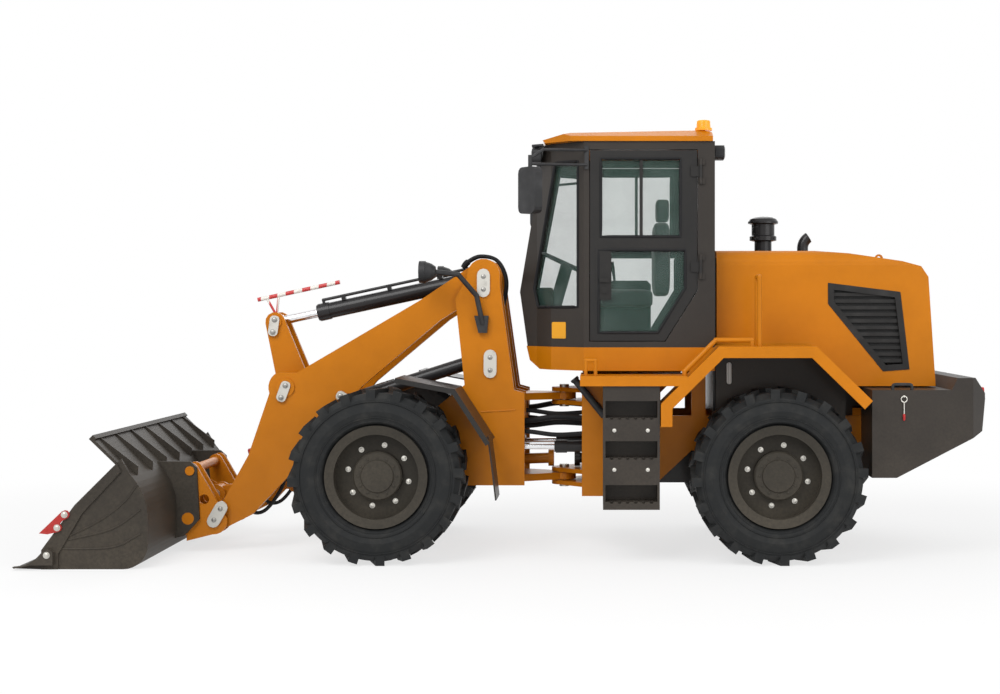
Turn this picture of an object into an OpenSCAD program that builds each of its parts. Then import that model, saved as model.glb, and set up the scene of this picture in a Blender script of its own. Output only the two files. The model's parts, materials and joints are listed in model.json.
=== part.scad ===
// Articulated wheel loader with a lever linkage, a quick hitch and a closed cab.
// Millimetres. X points forward, Y to the left, Z up, with the ground at Z 0.
// Side view points are [X, Z], measured from the steering hinge axis.

/* [Overall] */
// Distance between the front and rear axles
wheel_base = 2685; // [2500:5:2850]
// Distance from the steering hinge to the front axle
hinge_to_front_axle = 1230; // [1180:5:1300]
// Distance between the middles of the left and right tyres
track = 1590; // [1560:5:1660]
// Reach of the cutting edge in front of the steering hinge
front_reach = 3575; // [3540:5:3620]
// Reach of the counterweight behind the steering hinge
rear_reach = 2880; // [2850:5:2950]

/* [Wheels] */
// Tyre diameter over the lugs
tyre_d = 1176; // [1150:2:1190]
// Tyre width
tyre_w = 410; // [380:5:430]
// Diameter over the rim flanges
rim_d = 690; // [660:5:720]
// Height of the tread lugs
lug_h = 28; // [18:1:36]
// Number of lugs on each side of a tyre
lug_count = 20; // [18:1:26]
// Radius of the wheel hub drum
hub_r = 165; // [140:5:180]
// Radius of the axle spindle
spindle_r = 58; // [45:1:70]

/* [Front frame] */
// Thickness of the frame plates
plate_t = 25; // [16:1:30]
// Outer half width of the frame plates
frame_half_w = 410; // [400:5:420]
// Inner face of the inner tower plates
tower_inner_y = 160; // [140:5:170]
// Radius of the boom shaft
boom_shaft_r = 40; // [30:1:45]
// Radius of the lift cylinder pins
lift_pin_r = 32; // [25:1:36]

/* [Boom and linkage] */
// Inner face of the boom plates
boom_inner_y = 310; // [305:1:320]
// Thickness of the boom plates
boom_t = 60; // [40:1:65]
// Radius of the cross tube that carries the lever
cross_tube_r = 65; // [50:1:75]
// Inner face of the lever plates
lever_inner_y = 75; // [72:1:85]
// Thickness of the lever plates
lever_t = 30; // [20:1:35]
// Half width of the rod and link eyes
eye_half_w = 65; // [50:1:66]

/* [Bucket] */
// Width over the side plates
bucket_w = 2200; // [2050:10:2400]
// Thickness of the bucket sheet
bucket_t = 20; // [12:1:25]
// Radius of the hinge pins at the boom tips
tip_pin_r = 35; // [25:1:40]

/* [Cab] */
// Half width of the cab
cab_half_w = 700; // [680:5:720]
// Thickness of the cab walls and posts
cab_wall = 50; // [40:1:60]
// Thickness of the window glass
glass_t = 6; // [4:1:10]

/* [Rear frame] */
// Outer half width of the rear side plates
rail_half_w = 420; // [415:1:440]
// Half width of the hood
hood_half_w = 520; // [500:5:540]
// Thickness of the hood wall
hood_wall = 25; // [15:1:30]
// Width of the lip along the rear mudguards
lip_w = 76; // [50:1:90]
// Radius of the handrail tubes
rail_r = 16; // [12:1:18]
// Radius of the tow pin hole
tow_pin_r = 22; // [16:1:28]
// Radius of the steering hinge pins
hinge_pin_r = 35; // [28:1:40]

/* [Hidden] */
$fn = 48;

// Clearances
run = 0.05;
seat_gap = 0.3;
side_gap = 8;

// Bulge of a tube at a welded bend
weld = 1;

// Colours
yellow = [0.85, 0.50, 0.08];
dark_grey = [0.22, 0.20, 0.18];
black = [0.06, 0.06, 0.06];
steel = [0.75, 0.75, 0.73];
red = [0.75, 0.10, 0.10];

// Origin under the middle of the whole machine
origin_x = (front_reach - rear_reach) / 2;

// Axles
tyre_r = tyre_d / 2;
tyre_outer_y = track / 2 + tyre_w / 2;
front_axle_x = hinge_to_front_axle;
rear_axle_x = hinge_to_front_axle - wheel_base;

// Pins of the working arm, side view
boom_pin = [557, 1945];
lever_pin = [1955, 1155];
tip_pin = [2450, 220];
rod_pin = [2085, 1615];
link_pin = [2517, 372];
lever_foot = [1932, 459];
lift_base = [510, 1378];
lift_eye = [1500, 1060];

// Steering hinge and steering cylinders
upper_hinge_z = 1080;
lower_hinge_z = 500;
tongue_t = 50;
fork_t = 30;
steer_front = [330, 260];
steer_rear = [-430, 240];
steer_z = 730;
shaft_z = 625;

// Points of an arc round c, from angle a0 to a1
function arc(c, r, a0, a1, n = 8) =
    [for (i = [0:n]) let(a = a0 + (a1 - a0) * i / n) c + r * [cos(a), sin(a)]];
function reverse(p) = [for (i = [len(p) - 1:-1:0]) p[i]];
function unit(v) = v / norm(v);
function outward(a, b) = let(e = unit(b - a)) [e[1], -e[0]];
// A convex outline, listed anticlockwise, with every side moved inwards by d
function inset(p, d) = let(n = len(p)) [for (i = [0:n - 1])
    let(u = outward(p[(i + n - 1) % n], p[i]), v = outward(p[i], p[(i + 1) % n]))
    p[i] - d * (u + v) / (1 + u * v)];

// An open line moved by d to the side that outward() points away from
function shifted(l, d) = let(n = len(l)) [for (i = [0:n - 1])
    let(u = outward(l[max(i - 1, 0)], l[max(i, 1)]), v = outward(l[min(i, n - 2)], l[min(i + 1, n - 1)]))
    l[i] - d * (u + v) / (1 + u * v)];
// A strip of width d along an open line
function band(l, d) = concat(l, reverse(shifted(l, d)));
// A rectangle of w by h round the middle, with corners of radius r
function rounded(w, h, r) = [for (q = [0:3], p = arc([0, 0], r, 90 * q, 90 * q + 90, 3))
    p + [q == 0 || q == 3 ? w / 2 - r : r - w / 2, q < 2 ? h / 2 - r : r - h / 2]];

// Extrudes a side view outline from y0 to y1
module plate(y0, y1, points) {
    translate([0, y1, 0]) rotate([90, 0, 0]) linear_extrude(y1 - y0) polygon(points);
}
// A cylinder along Y
module pin_y(p, r, y0, y1) {
    translate([p[0], y1, p[1]]) rotate([90, 0, 0]) cylinder(r = r, h = y1 - y0);
}
// A cylinder along Z
module pin_z(p, r, z0, z1) {
    translate([p[0], p[1], z0]) cylinder(r = r, h = z1 - z0);
}
// A block between two corners
module block(lo, hi) {
    translate(lo) cube(hi - lo);
}
// A round bar between two points
module bar(p, q, r) {
    d = q - p;
    translate(p) rotate([0, acos(d[2] / norm(d)), atan2(d[1], d[0])]) cylinder(r = r, h = norm(d));
}
// A round bar that bends at each inner point of a path
module tube(path, r) {
    for (i = [1:len(path) - 1]) bar(path[i - 1], path[i], r);
    for (i = [1:len(path) - 2]) translate(path[i]) sphere(r = r + weld);
}
// Extrudes an outline in the end view, [Y, Z] round p, for d along X
module end_plate(p, d, points) {
    translate(p) rotate([90, 0, 90]) linear_extrude(d) polygon(points);
}
module both_sides() {
    children();
    mirror([0, 1, 0]) children();
}
// Turns the side view so that X runs from p towards q, with the origin at p
module along(p, q) {
    translate([p[0], 0, p[1]]) rotate([0, -atan2(q[1] - p[1], q[0] - p[0]), 0]) children();
}
// Places a module of the left side on the side given by s, 1 for left and -1 for right
module on_side(s) {
    if (s > 0) children();
    else mirror([0, 1, 0]) children();
}

// Wheels

// Outline of a tyre's carcass, [radius, distance from its middle]
bead_half_w = 150;
function tyre_half() = let(h = tyre_w / 2, f = rim_d / 2, crown = tyre_r - lug_h)
    [[rim_seat_r + seat_gap, bead_half_w], [f + 1, bead_half_w], [f + 20, 0.9 * h], [f + 95, h],
     [crown - 36, h - 10], [crown, h - 58]];
function tyre_section() = concat([for (p = tyre_half()) [p[0], -p[1]]], reverse(tyre_half()));
// Outline of a lug, [along the tread, distance from the middle of the tread]
lug_root_r = tyre_r - 110;
lug_half_l = 62;
lug_top_r = sqrt(tyre_r * tyre_r - lug_half_l * lug_half_l);
function lug_outline_plan() = let(h = tyre_w / 2 - 8, e = lug_half_l)
    [[-e, 5], [-e + 48, 5], [e, h], [e - 60, h]];
rim_seat_r = rim_d / 2 - 38;
rim_wall = 14;
disc_y = 30;
disc_t = 18;
hub_face = 118;
spindle_end = 22;

module wheel_at(x, s) {
    translate([x, s * track / 2, tyre_r]) on_side(s) rotate([-90, 0, 0]) children();
}
module tyre() {
    color(black) {
        rotate_extrude($fn = 24) polygon(tyre_section());
        for (side = [0, 1], i = [0:lug_count - 1]) rotate([0, 0, (i + side / 2) * 360 / lug_count])
            mirror([0, 0, side]) end_plate([lug_root_r, 0, 0], lug_top_r - lug_root_r, lug_outline_plan());
    }
}
module rim() {
    color(dark_grey) difference() {
        rotate_extrude() polygon([
            [0, 0], [hub_r - 5, 0], [hub_r, 10], [hub_r, disc_y], [rim_seat_r - rim_wall, disc_y - 12],
            [rim_seat_r - rim_wall, -168], [rim_d / 2 - 2, -178], [rim_d / 2 - 2, -151], [rim_seat_r, -151],
            [rim_seat_r, 151], [rim_d / 2 - 2, 151], [rim_d / 2 - 2, 178], [rim_seat_r - rim_wall - 10, 168],
            [rim_seat_r - rim_wall, disc_y + disc_t - 6], [hub_r + 2, disc_y + disc_t], [hub_r, hub_face - 22],
            [hub_r - 10, hub_face - 12], [112, hub_face - 10], [106, hub_face], [0, hub_face]]);
        translate([0, 0, -1]) cylinder(r = spindle_r + run, h = spindle_end + 3);
    }
}

// Axles

drum_r = 150;
drum_start = 560;
drum_end = track / 2 - 14;
module axle(x, pinion) {
    color(yellow) translate([x, 0, tyre_r]) {
        pin_y([0, 0], 92, -drum_end, drum_end);
        sphere(r = 205);
        both_sides() {
            pin_y([0, 0], drum_r, drum_start, drum_end);
            pin_y([0, 0], spindle_r, drum_end - 1, track / 2 + spindle_end);
            translate([-110, 270, 60]) cube([220, 130, axle_pad_z - tyre_r - 60]);
        }
        bar([pinion * 150, 0, 0], [pinion * 300, 0, 10], 75);
    }
}
axle_pad_z = 715;

// Front frame

// Side plate of the front frame with its tower
function tower_outline() = concat(
    [[270, 470], [700, 470], [900, axle_pad_z], [1440, axle_pad_z], [1500, 800], [1470, 930], [1000, 930],
     [690, 1175], [755, 1780], [672, 1930]],
    arc(boom_pin, 115, 10, 190, 10), [[440, 1850], [342, 1140], [270, 1120]]);
module front_frame() {
    color(yellow) difference() {
        union() {
            both_sides() {
                plate(frame_half_w - plate_t, frame_half_w, tower_outline());
                intersection() {
                    plate(tower_inner_y, tower_inner_y + plate_t, tower_outline());
                    block([200, 0, 905], [800, 500, 2200]);
                }
                // Lugs of the steering cylinders
                for (z = [steer_z - 68, steer_z + 48])
                    block([steer_front[0] - 40, steer_front[1] - 45, z],
                          [480, frame_half_w - plate_t + 1, z + 20]);
                pin_z(steer_front, 32, steer_z + 67, steer_z + 80);
                pin_z(steer_front, 32, steer_z - 80, steer_z - 67);
            }
            // Floor, deck and cross plates
            block([460, -frame_half_w, 470], [700, frame_half_w, 495]);
            block([690, -frame_half_w, 905], [1480, frame_half_w, 930]);
            block([455, -frame_half_w, 490], [480, frame_half_w, 1120]);
            block([640, -tower_inner_y - 5, 905], [660, tower_inner_y + 5, 1500]);
            block([1440, -frame_half_w, 800], [1465, frame_half_w, 930]);
            // Hinge tongues
            for (z = [upper_hinge_z, lower_hinge_z]) {
                plan_plate(z - tongue_t / 2, z + tongue_t / 2,
                    concat([[480, -300], [480, 300]], arc([0, 0], 85, 70, 290, 14)));
            }
        }
        for (z = [upper_hinge_z, lower_hinge_z])
            pin_z([0, 0], hinge_pin_r + run, z - 100, z + 100);
        pin_y(boom_pin, boom_shaft_r + run, -600, 600);
        pin_y(lift_base, lift_pin_r + run, -600, 600);
        // Way through for the drive shaft
        translate([400, 0, shaft_z]) rotate([0, 90, 0]) cylinder(r = 75, h = 160);
    }
}
// Extrudes a plan outline from z0 to z1
module plan_plate(z0, z1, points) {
    translate([0, 0, z0]) linear_extrude(z1 - z0) polygon(points);
}
steer_pin_r = 20;
lock_plate_t = 14;

lock_plate_l = 110;
lock_plate_r = 45;
// Lock plate over a pin's end, hanging down from it and swung round it by turn
module lock_plate(p, y, turn = 0) {
    foot = p + lock_plate_l * [sin(turn), -cos(turn)];
    plate(y, y + lock_plate_t, concat(arc(p, lock_plate_r, turn, turn + 180, 6),
                                      arc(foot, lock_plate_r, turn + 180, turn + 360, 6)));
}
// Boom shaft and lift cylinder pins with their lock plates
module front_pins() {
    color(steel) {
        pin_y(boom_pin, boom_shaft_r, -frame_half_w - 1, frame_half_w + 1);
        both_sides() {
            pin_y(lift_base, lift_pin_r, tower_inner_y - 10, frame_half_w + 1);
            lock_plate(boom_pin, frame_half_w + seat_gap);
            lock_plate(lift_base, frame_half_w + seat_gap);
        }
    }
}
module front_axle() {
    axle(front_axle_x, -1);
    color(black) {
        bar([front_axle_x - 260, 0, tyre_r + 8], [75, 0, shaft_z], 38);
        translate([75, 0, shaft_z]) rotate([0, 90, 0]) cylinder(r = 60, h = 40);
    }
}
// Bent mudguard behind and over each front wheel, with a lip outside and a flap that hangs from it
function front_fender_line() = [[1110, 1245], [710, 1170], [476, 810]];
function front_flap_line() = [[490, 850], [462, 640], [436, 420]];
fender_t = 10;
front_lip_w = 34;
front_fender_y = tyre_outer_y - 90;
module front_fenders() {
    line = front_fender_line();
    y = frame_half_w + seat_gap;
    color(dark_grey) both_sides() {
        plate(y + 20, front_fender_y, band(line, fender_t));
        plate(front_fender_y - fender_t, front_fender_y, band(line, front_lip_w));
        plate(y + 120, front_fender_y - 60, band(front_flap_line(), fender_t));
        // Bracket to the frame plate
        plate(y, y + 21, [[560, 930], [640, 930], [720, 1165], [620, 1010]]);
    }
}
// Work lamp on a bent stalk at each side of the tower
lamp_pos = [880, 600, 1962];
lamp_r = 76;
lamp_stalk = [lamp_pos, [720, 560, 1945], [600, 480, 1800], [560, 440, 1600]];
stalk_r = 18;
module front_lamps() {
    color(black) both_sides() {
        translate(lamp_pos) rotate([0, 90, 0]) rotate_extrude() polygon([[0, -12], [38, -8], [58, 20],
            [lamp_r - 4, 62], [lamp_r, 62], [lamp_r, 104], [lamp_r - 8, 104], [lamp_r - 12, 92], [0, 92]]);
        tube(lamp_stalk, stalk_r);
        plate(frame_half_w + seat_gap, frame_half_w + 40, [[530, 1540], [590, 1540], [620, 1660], [520, 1660]]);
    }
}

// Boom, lever and link

function boom_outline() = concat(
    arc(boom_pin, 105, 235, 60, 10), [[1009, 1767], [1880, 1255]], arc(lever_pin, 120, 60, -20, 6),
    [[2216, 677], [2420, 310]], arc(tip_pin, 85, 60, -100, 8), [[2187, 261], [1902, 564], [1700, 815],
     [1415, 1164], [865, 1627]]);
// Cross tube near the boom's tips
boom_tie = [2230, 560];
boom_tie_r = 36;
module boom() {
    color(yellow) difference() {
        union() {
            both_sides() {
                plate(boom_inner_y, boom_inner_y + boom_t, boom_outline());
                pin_y(boom_pin, boom_shaft_r + 45, boom_inner_y - 8, boom_inner_y + boom_t + 12);
                // Pin head of the lift cylinder
                pin_y(lift_eye, 42, boom_inner_y - 1, boom_inner_y + boom_t + 12);
            }
            pin_y(lever_pin, cross_tube_r, -boom_inner_y - boom_t - 12, boom_inner_y + boom_t + 12);
            pin_y(boom_tie, boom_tie_r, -boom_inner_y - 1, boom_inner_y + 1);
        }
        pin_y(boom_pin, boom_shaft_r + run, -600, 600);
        pin_y(tip_pin, tip_pin_r + run, -600, 600);
    }
}
function lever_outline() = concat(
    arc(rod_pin, 70, 160, -10, 6), arc(lever_pin, 125, 20, -40, 4), arc(lever_foot, 75, 10, -190, 8),
    arc(lever_pin, 125, 200, 160, 4));
module lever() {
    color(yellow) difference() {
        union() {
            both_sides() {
                plate(lever_inner_y, lever_inner_y + lever_t, lever_outline());
                pin_y(rod_pin, 48, lever_inner_y, lever_inner_y + lever_t + 14);
                pin_y(lever_foot, 48, lever_inner_y, lever_inner_y + lever_t + 14);
            }
            pin_y(lever_pin, cross_tube_r + 38, -lever_inner_y - lever_t - 14, lever_inner_y + lever_t + 14);
        }
        pin_y(lever_pin, cross_tube_r + run, -600, 600);
    }
}
// Striped pointer on the tilt rod's eye that shows when the bucket is level
pointer_h = 187;
module level_indicator() {
    color(red) along(rod_pin, boom_pin) {
        translate([-110, 0, -pointer_h]) rotate([0, 90, 0]) cylinder(r = 15, h = 610);
        for (x = [-45, 45]) bar([x / 8, 0, -tilt_eye_r - seat_gap - 2], [x, 0, -pointer_h], 9);
        translate([-14, -20, -tilt_eye_r - seat_gap - 14]) cube([28, 40, 14]);
    }
}
module tilt_link() {
    color(yellow) difference() {
        union() {
            pin_y(link_pin, 62, -eye_half_w, eye_half_w);
            pin_y(lever_foot, 62, -eye_half_w, eye_half_w);
            along(link_pin, lever_foot)
                block([0, -eye_half_w + 15, -45], [norm(lever_foot - link_pin), eye_half_w - 15, 45]);
        }
        pin_y(link_pin, tip_pin_r + run, -600, 600);
    }
}

// Bucket and hitch

hitch_gap = 12;
hitch_edge_y = boom_inner_y + boom_t + hitch_gap + plate_t;
hitch_top = [2610, 575];
hitch_low = [2625, 240];
hitch_low_r = 42;
hitch_top_r = 32;
function lug_outline() = [[2725, 100], [2715, 250], [2725, 420], [2766, 530], [2850, 640], [2610, 640],
                          [2565, 600], [2545, 235], [2650, 120]];
heel_r = 160;
heel = [2865, heel_r];
back_r = 420;
back = [heel[0] - heel_r + back_r, 330];
back_end = 134;
guard_len = 340;
lip_x = front_reach - 175;
function sheet_line(d) = concat(
    [[lip_x, d]], arc(heel, heel_r - d, 270, 180, 8), arc(back, back_r - d, 180, back_end, 8),
    [back + (back_r - d) * [cos(back_end), sin(back_end)] + guard_len * [sin(back_end), -cos(back_end)]]);
bucket_half_w = bucket_w / 2;
function side_outline() = concat(
    [[lip_x, 1], [lip_x, 127], [3182, 422], [2880, 723], [2838, 650]],
    reverse(concat(arc(heel, heel_r - 1, 270, 180, 8), arc(back, back_r - 1, 180, back_end + 4, 8))));
// Ends of the spill guard, [X, Z], outside of the sheet
guard_foot = back + back_r * [cos(back_end), sin(back_end)];
guard_along = [sin(back_end), -cos(back_end)];
guard_out = [cos(back_end), sin(back_end)];
guard_rib_h = 46;
guard_rib_t = 14;
guard_rib_y = [0, 330, 660, 990];
// Band along the side plate's front edge
side_cutter_t = 12;
module bucket() {
    color(dark_grey) {
        plate(-bucket_half_w, bucket_half_w, concat(sheet_line(0), reverse(sheet_line(bucket_t))));
        both_sides() {
            plate(bucket_half_w - bucket_t, bucket_half_w, side_outline());
            plate(bucket_half_w - 1, bucket_half_w + side_cutter_t,
                  [[lip_x, 1], [lip_x, 127], [3182, 422], [2905, 698], [2878, 640], [3130, 370],
                   [3290, 100], [3290, 1]]);
            // Ribs behind the spill guard
            for (y = guard_rib_y) plate(y - guard_rib_t / 2, y + guard_rib_t / 2,
                [guard_foot - 40 * guard_along - guard_out, guard_foot + guard_rib_h * guard_out,
                 guard_foot + (guard_len - 20) * guard_along + 10 * guard_out,
                 guard_foot + (guard_len - 4) * guard_along - guard_out]);
            // Lugs that hang on the hitch
            difference() {
                plate(hitch_edge_y + seat_gap, hitch_edge_y + plate_t, lug_outline());
                pin_y(hitch_top, hitch_top_r + seat_gap, 0, 900);
                pin_y(hitch_low, hitch_low_r + seat_gap, 0, 900);
            }
        }
        // Bar along the guard's top edge
        plate(-bucket_half_w, bucket_half_w, [for (p = [[-32, -1], [-32, 16], [0, 16], [0, -1]])
            guard_foot + (guard_len + p[0]) * guard_along + p[1] * guard_out]);
    }
}
// Cutting edge with a corner tooth at each end, and the guards bolted on the side plates
tooth_t = 40;
function tooth_outline() = concat(
    [[lip_x + seat_gap, 34], [lip_x + 60, 33], [front_reach - 10, 12], [front_reach, 22]],
    arc([front_reach, 262], 240, 268, 218, 5), [[lip_x - 55, 140], [lip_x - 88, 118], [lip_x - 88, 34]]);
function guard_outline() = concat([[3409, 239]], arc([3240, 362], 28, 50, 230, 5), [[3262, 318]],
    arc([3290, 276], 28, 120, 250, 4), [[3352, 233]]);
module bucket_edge() {
    y = bucket_half_w + side_cutter_t + seat_gap;
    color(dark_grey) {
        plate(-bucket_half_w, bucket_half_w,
            [[lip_x + seat_gap, 0], [front_reach, 6], [front_reach, 10], [lip_x + 40, 32], [lip_x + seat_gap, 32]]);
        both_sides() plate(y, y + tooth_t, tooth_outline());
        both_sides() plate(bucket_half_w - 40, y + 1,
            [[lip_x + 20, 30], [lip_x + 120, 16], [lip_x + 40, 60], [lip_x + 20, 60]]);
    }
    color(red) both_sides() plate(y, y + 16, guard_outline());
}
function hitch_outline() = concat(
    [[2640, 80], [2640, 380], [2662, 560]], arc(hitch_top, 50, 0, 150, 6), arc(tip_pin, 95, 170, 275, 6));
module hitch() {
    y_out = boom_inner_y + boom_t + hitch_gap;
    y_in = boom_inner_y - hitch_gap;
    color(yellow) difference() {
        union() {
            both_sides() {
                plate(y_out, y_out + plate_t, hitch_outline());
                plate(y_in - plate_t, y_in, hitch_outline());
                // Lugs of the link
                plate(lever_inner_y, lever_inner_y + plate_t,
                    concat(arc(link_pin, 70, 60, 250, 8), [[2640, 200], [2640, 480]]));
            }
            pin_y(hitch_low, hitch_low_r, -hitch_edge_y - plate_t, hitch_edge_y + plate_t);
            pin_y(hitch_top, hitch_top_r, -hitch_edge_y - plate_t - 10, hitch_edge_y + plate_t + 10);
            block([2630, -y_out - plate_t, 120], [2664, y_out + plate_t, 340]);
        }
        pin_y(tip_pin, tip_pin_r + run, -600, 600);
        pin_y(link_pin, tip_pin_r + run, -600, 600);
    }
}
// Pins of the boom tips and the link, with a lock plate on each outer end
module hitch_pins() {
    y_out = boom_inner_y + boom_t + hitch_gap + plate_t;
    color(steel) {
        both_sides() {
            pin_y(tip_pin, tip_pin_r, boom_inner_y - hitch_gap - plate_t - 6, y_out + 1);
            lock_plate(tip_pin, y_out + seat_gap, -150);
        }
        pin_y(link_pin, tip_pin_r, -lever_inner_y - plate_t - 6, lever_inner_y + plate_t + 6);
    }
}

// Cylinders

gland_lip = 6;
// Barrel of a cylinder in the side view from its base pin p towards q
module barrel(p, q, len, r, rod_r, pin_r, half_w) {
    color(black) along(p, q) difference() {
        union() {
            rotate([90, 0, 0]) translate([0, 0, -half_w]) cylinder(r = pin_r + 28, h = 2 * half_w);
            rotate([0, 90, 0]) translate([0, 0, pin_r + 10]) cylinder(r = r, h = len - pin_r - 10);
            rotate([0, 90, 0]) translate([0, 0, len - 90]) cylinder(r = r + gland_lip, h = 80);
        }
        rotate([90, 0, 0]) translate([0, 0, -half_w - 1]) cylinder(r = pin_r + run, h = 2 * half_w + 2);
        rotate([0, 90, 0]) translate([0, 0, pin_r + 60]) cylinder(r = rod_r + run, h = len);
    }
}
// Rod of a cylinder with its eye at q, reaching back into the barrel for len
module rod(p, q, len, rod_r, eye_r, half_w) {
    color(steel) along(q, p) {
        rotate([90, 0, 0]) translate([0, 0, -half_w]) cylinder(r = eye_r, h = 2 * half_w);
        rotate([0, 90, 0]) cylinder(r = rod_r, h = len);
    }
}
tilt_len = norm(rod_pin - boom_pin);
tilt_barrel_len = tilt_len - 300;
lift_len = norm(lift_eye - lift_base);
lift_barrel_len = lift_len - 95;
lift_y = 245;
tilt_barrel_r = 58;
// Oil pipe along the top of the tilt cylinder, with a port at each end
pipe_r = 11;
pipe_h = tilt_barrel_r + 26;
pipe_y = 24;
module tilt_barrel() {
    barrel(boom_pin, rod_pin, tilt_barrel_len, tilt_barrel_r, 32, boom_shaft_r, eye_half_w);
    color(black) along(boom_pin, rod_pin) {
        tube([[130, pipe_y, tilt_barrel_r - 15], [130, pipe_y, pipe_h], [tilt_barrel_len - 60, pipe_y, pipe_h],
              [tilt_barrel_len - 60, pipe_y, tilt_barrel_r - 15]], pipe_r);
        for (x = [320, 700, 1040]) block([x, -6, tilt_barrel_r - 8], [x + 30, pipe_y + pipe_r + 5, pipe_h + 4]);
    }
}
tilt_eye_r = 58;
module tilt_rod() rod(boom_pin, rod_pin, 520, 32, tilt_eye_r, eye_half_w - side_gap);
module lift_barrels() {
    both_sides() translate([0, lift_y, 0])
        barrel(lift_base, lift_eye, lift_barrel_len, 48, 30, lift_pin_r, 50);
}
module lift_rods() {
    both_sides() translate([0, lift_y, 0]) rod(lift_base, lift_eye, lift_len - 130, 30, 55, 50);
}
// Steering cylinder of the left side, lying flat
steer_len = norm(steer_front - steer_rear);
module steer_lie() {
    translate([0, 0, steer_z]) rotate([-90, 0, 0]) children();
}
module steer_barrel() steer_lie() barrel(steer_rear, steer_front, steer_len - 265, 40, 20, steer_pin_r, 40);
module steer_rod() steer_lie() rod(steer_rear, steer_front, 510, 20, 38, 40);

// Rear frame

function rail_outline() = [[-133, 396], [-133, 1242], [-420, 1242], [-700, rail_top], [-2500, rail_top],
                           [-2500, axle_pad_z], [-900, axle_pad_z], [-560, 396]];
rail_top = 960;
module rear_frame() {
    color(yellow) difference() {
        union() {
            both_sides() plate(rail_half_w - plate_t, rail_half_w, rail_outline());
            // Front bulkhead, cross members
            difference() {
                block([-163, -rail_half_w, 396], [-133, rail_half_w, 1242]);
                block([-200, -rail_half_w + plate_t + 7, 565], [-100, rail_half_w - plate_t - 7, 1000]);
            }
            for (x = [-540, -1150, -1800, -2480])
                block([x, -rail_half_w, 800], [x + 25, rail_half_w, 950]);
            // Cross member and lugs of the steering cylinders
            block([-530, -rail_half_w, steer_z - 75], [-505, rail_half_w, 960]);
            // Posts under the cab
            both_sides() block([-1000, rail_half_w - plate_t, 950], [-900, rail_half_w, cab_floor_z - seat_gap]);
            for (z = [steer_z - 68, steer_z + 48])
                both_sides()
                    block([-520, steer_rear[1] - 45, z], [steer_rear[0] + 40, steer_rear[1] + 45, z + 20]);
            // Hinge forks
            for (z = [upper_hinge_z, lower_hinge_z], s = [-1, 1])
                plan_plate(z + s * (tongue_t / 2 + 6 + fork_t / 2) - fork_t / 2,
                           z + s * (tongue_t / 2 + 6 + fork_t / 2) + fork_t / 2,
                    concat([[-150, -260]], arc([0, 0], 90, -70, 70, 12), [[-150, 260]]));
        }
        for (z = [upper_hinge_z, lower_hinge_z]) pin_z([0, 0], hinge_pin_r + run, z - 200, z + 200);
        both_sides() pin_z(steer_rear, steer_pin_r + run, steer_z - 200, steer_z + 200);
        // Way through for the drive shaft
        translate([-560, 0, shaft_z]) rotate([0, 90, 0]) cylinder(r = 60, h = 90);
    }
}
module hinge_pins() {
    color(steel) {
        for (z = [upper_hinge_z, lower_hinge_z]) pin_z([0, 0], hinge_pin_r, z - 80, z + 80);
        both_sides() pin_z(steer_rear, steer_pin_r, steer_z - 90, steer_z + 90);
    }
}
module rear_axle() axle(rear_axle_x, 1);
module transmission() {
    color(black) {
        block([-1000, -230, 470], [-540 - seat_gap, 230, 900]);
        bar([-560, 0, shaft_z], [-75, 0, shaft_z], 38);
        translate([-115, 0, shaft_z]) rotate([0, 90, 0]) cylinder(r = 60, h = 40);
        bar([-1000, 0, 600], [rear_axle_x + 305, 0, tyre_r + 8], 38);
    }
}
module engine() {
    color(dark_grey) {
        block([-2050, -290, 950 + seat_gap], [-1170, 290, 1720]);
        block([-2440, -420, rail_top + seat_gap], [-2300, 420, 1800]);
    }
}
function weight_outline() = [[-2090, 571], [-2090, 1162], [-2625, 1162], [-2665, 1243], [-2790, 1243],
                             [-rear_reach, 1130], [-rear_reach + 30, 880], [-2256, 571]];
weight_half_w = 850;
weight_corner = 110;
// Lamp pockets in the counterweight's rear face
rear_lamp_z = 1130;
rear_lamp_y = 640;
rear_lamp_w = 210;
rear_lamp_h = 90;
module counterweight() {
    color(dark_grey) difference() {
        intersection() {
            union() {
                both_sides() plate(rail_half_w + seat_gap, weight_half_w, weight_outline());
                intersection() {
                    plate(-rail_half_w - 1, rail_half_w + 1, weight_outline());
                    block([-3000, -600, 500], [-2500 - seat_gap, 600, 1300]);
                }
            }
            plan_plate(500, 1300, [[-2000, weight_half_w], [weight_corner - rear_reach, weight_half_w],
                [-rear_reach, weight_half_w - weight_corner], [-rear_reach, weight_corner - weight_half_w],
                [weight_corner - rear_reach, -weight_half_w], [-2000, -weight_half_w]]);
        }
        // Tow slot and its pin hole
        block([-3000, -60, 960], [-2720, 60, 1050]);
        pin_z([-2790, 0], tow_pin_r, 880, 1300);
        both_sides() end_plate([-3000, rear_lamp_y, rear_lamp_z], 3000 - rear_reach + 60,
            rounded(rear_lamp_w, rear_lamp_h, 20));
    }
}
// Tail lamps, seated in the counterweight's pockets
module rear_lamps() {
    color(red) both_sides()
        end_plate([10 - seat_gap - rear_reach, rear_lamp_y, rear_lamp_z], 50,
            rounded(rear_lamp_w - 2 * seat_gap, rear_lamp_h - 2 * seat_gap, 20));
}
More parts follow.
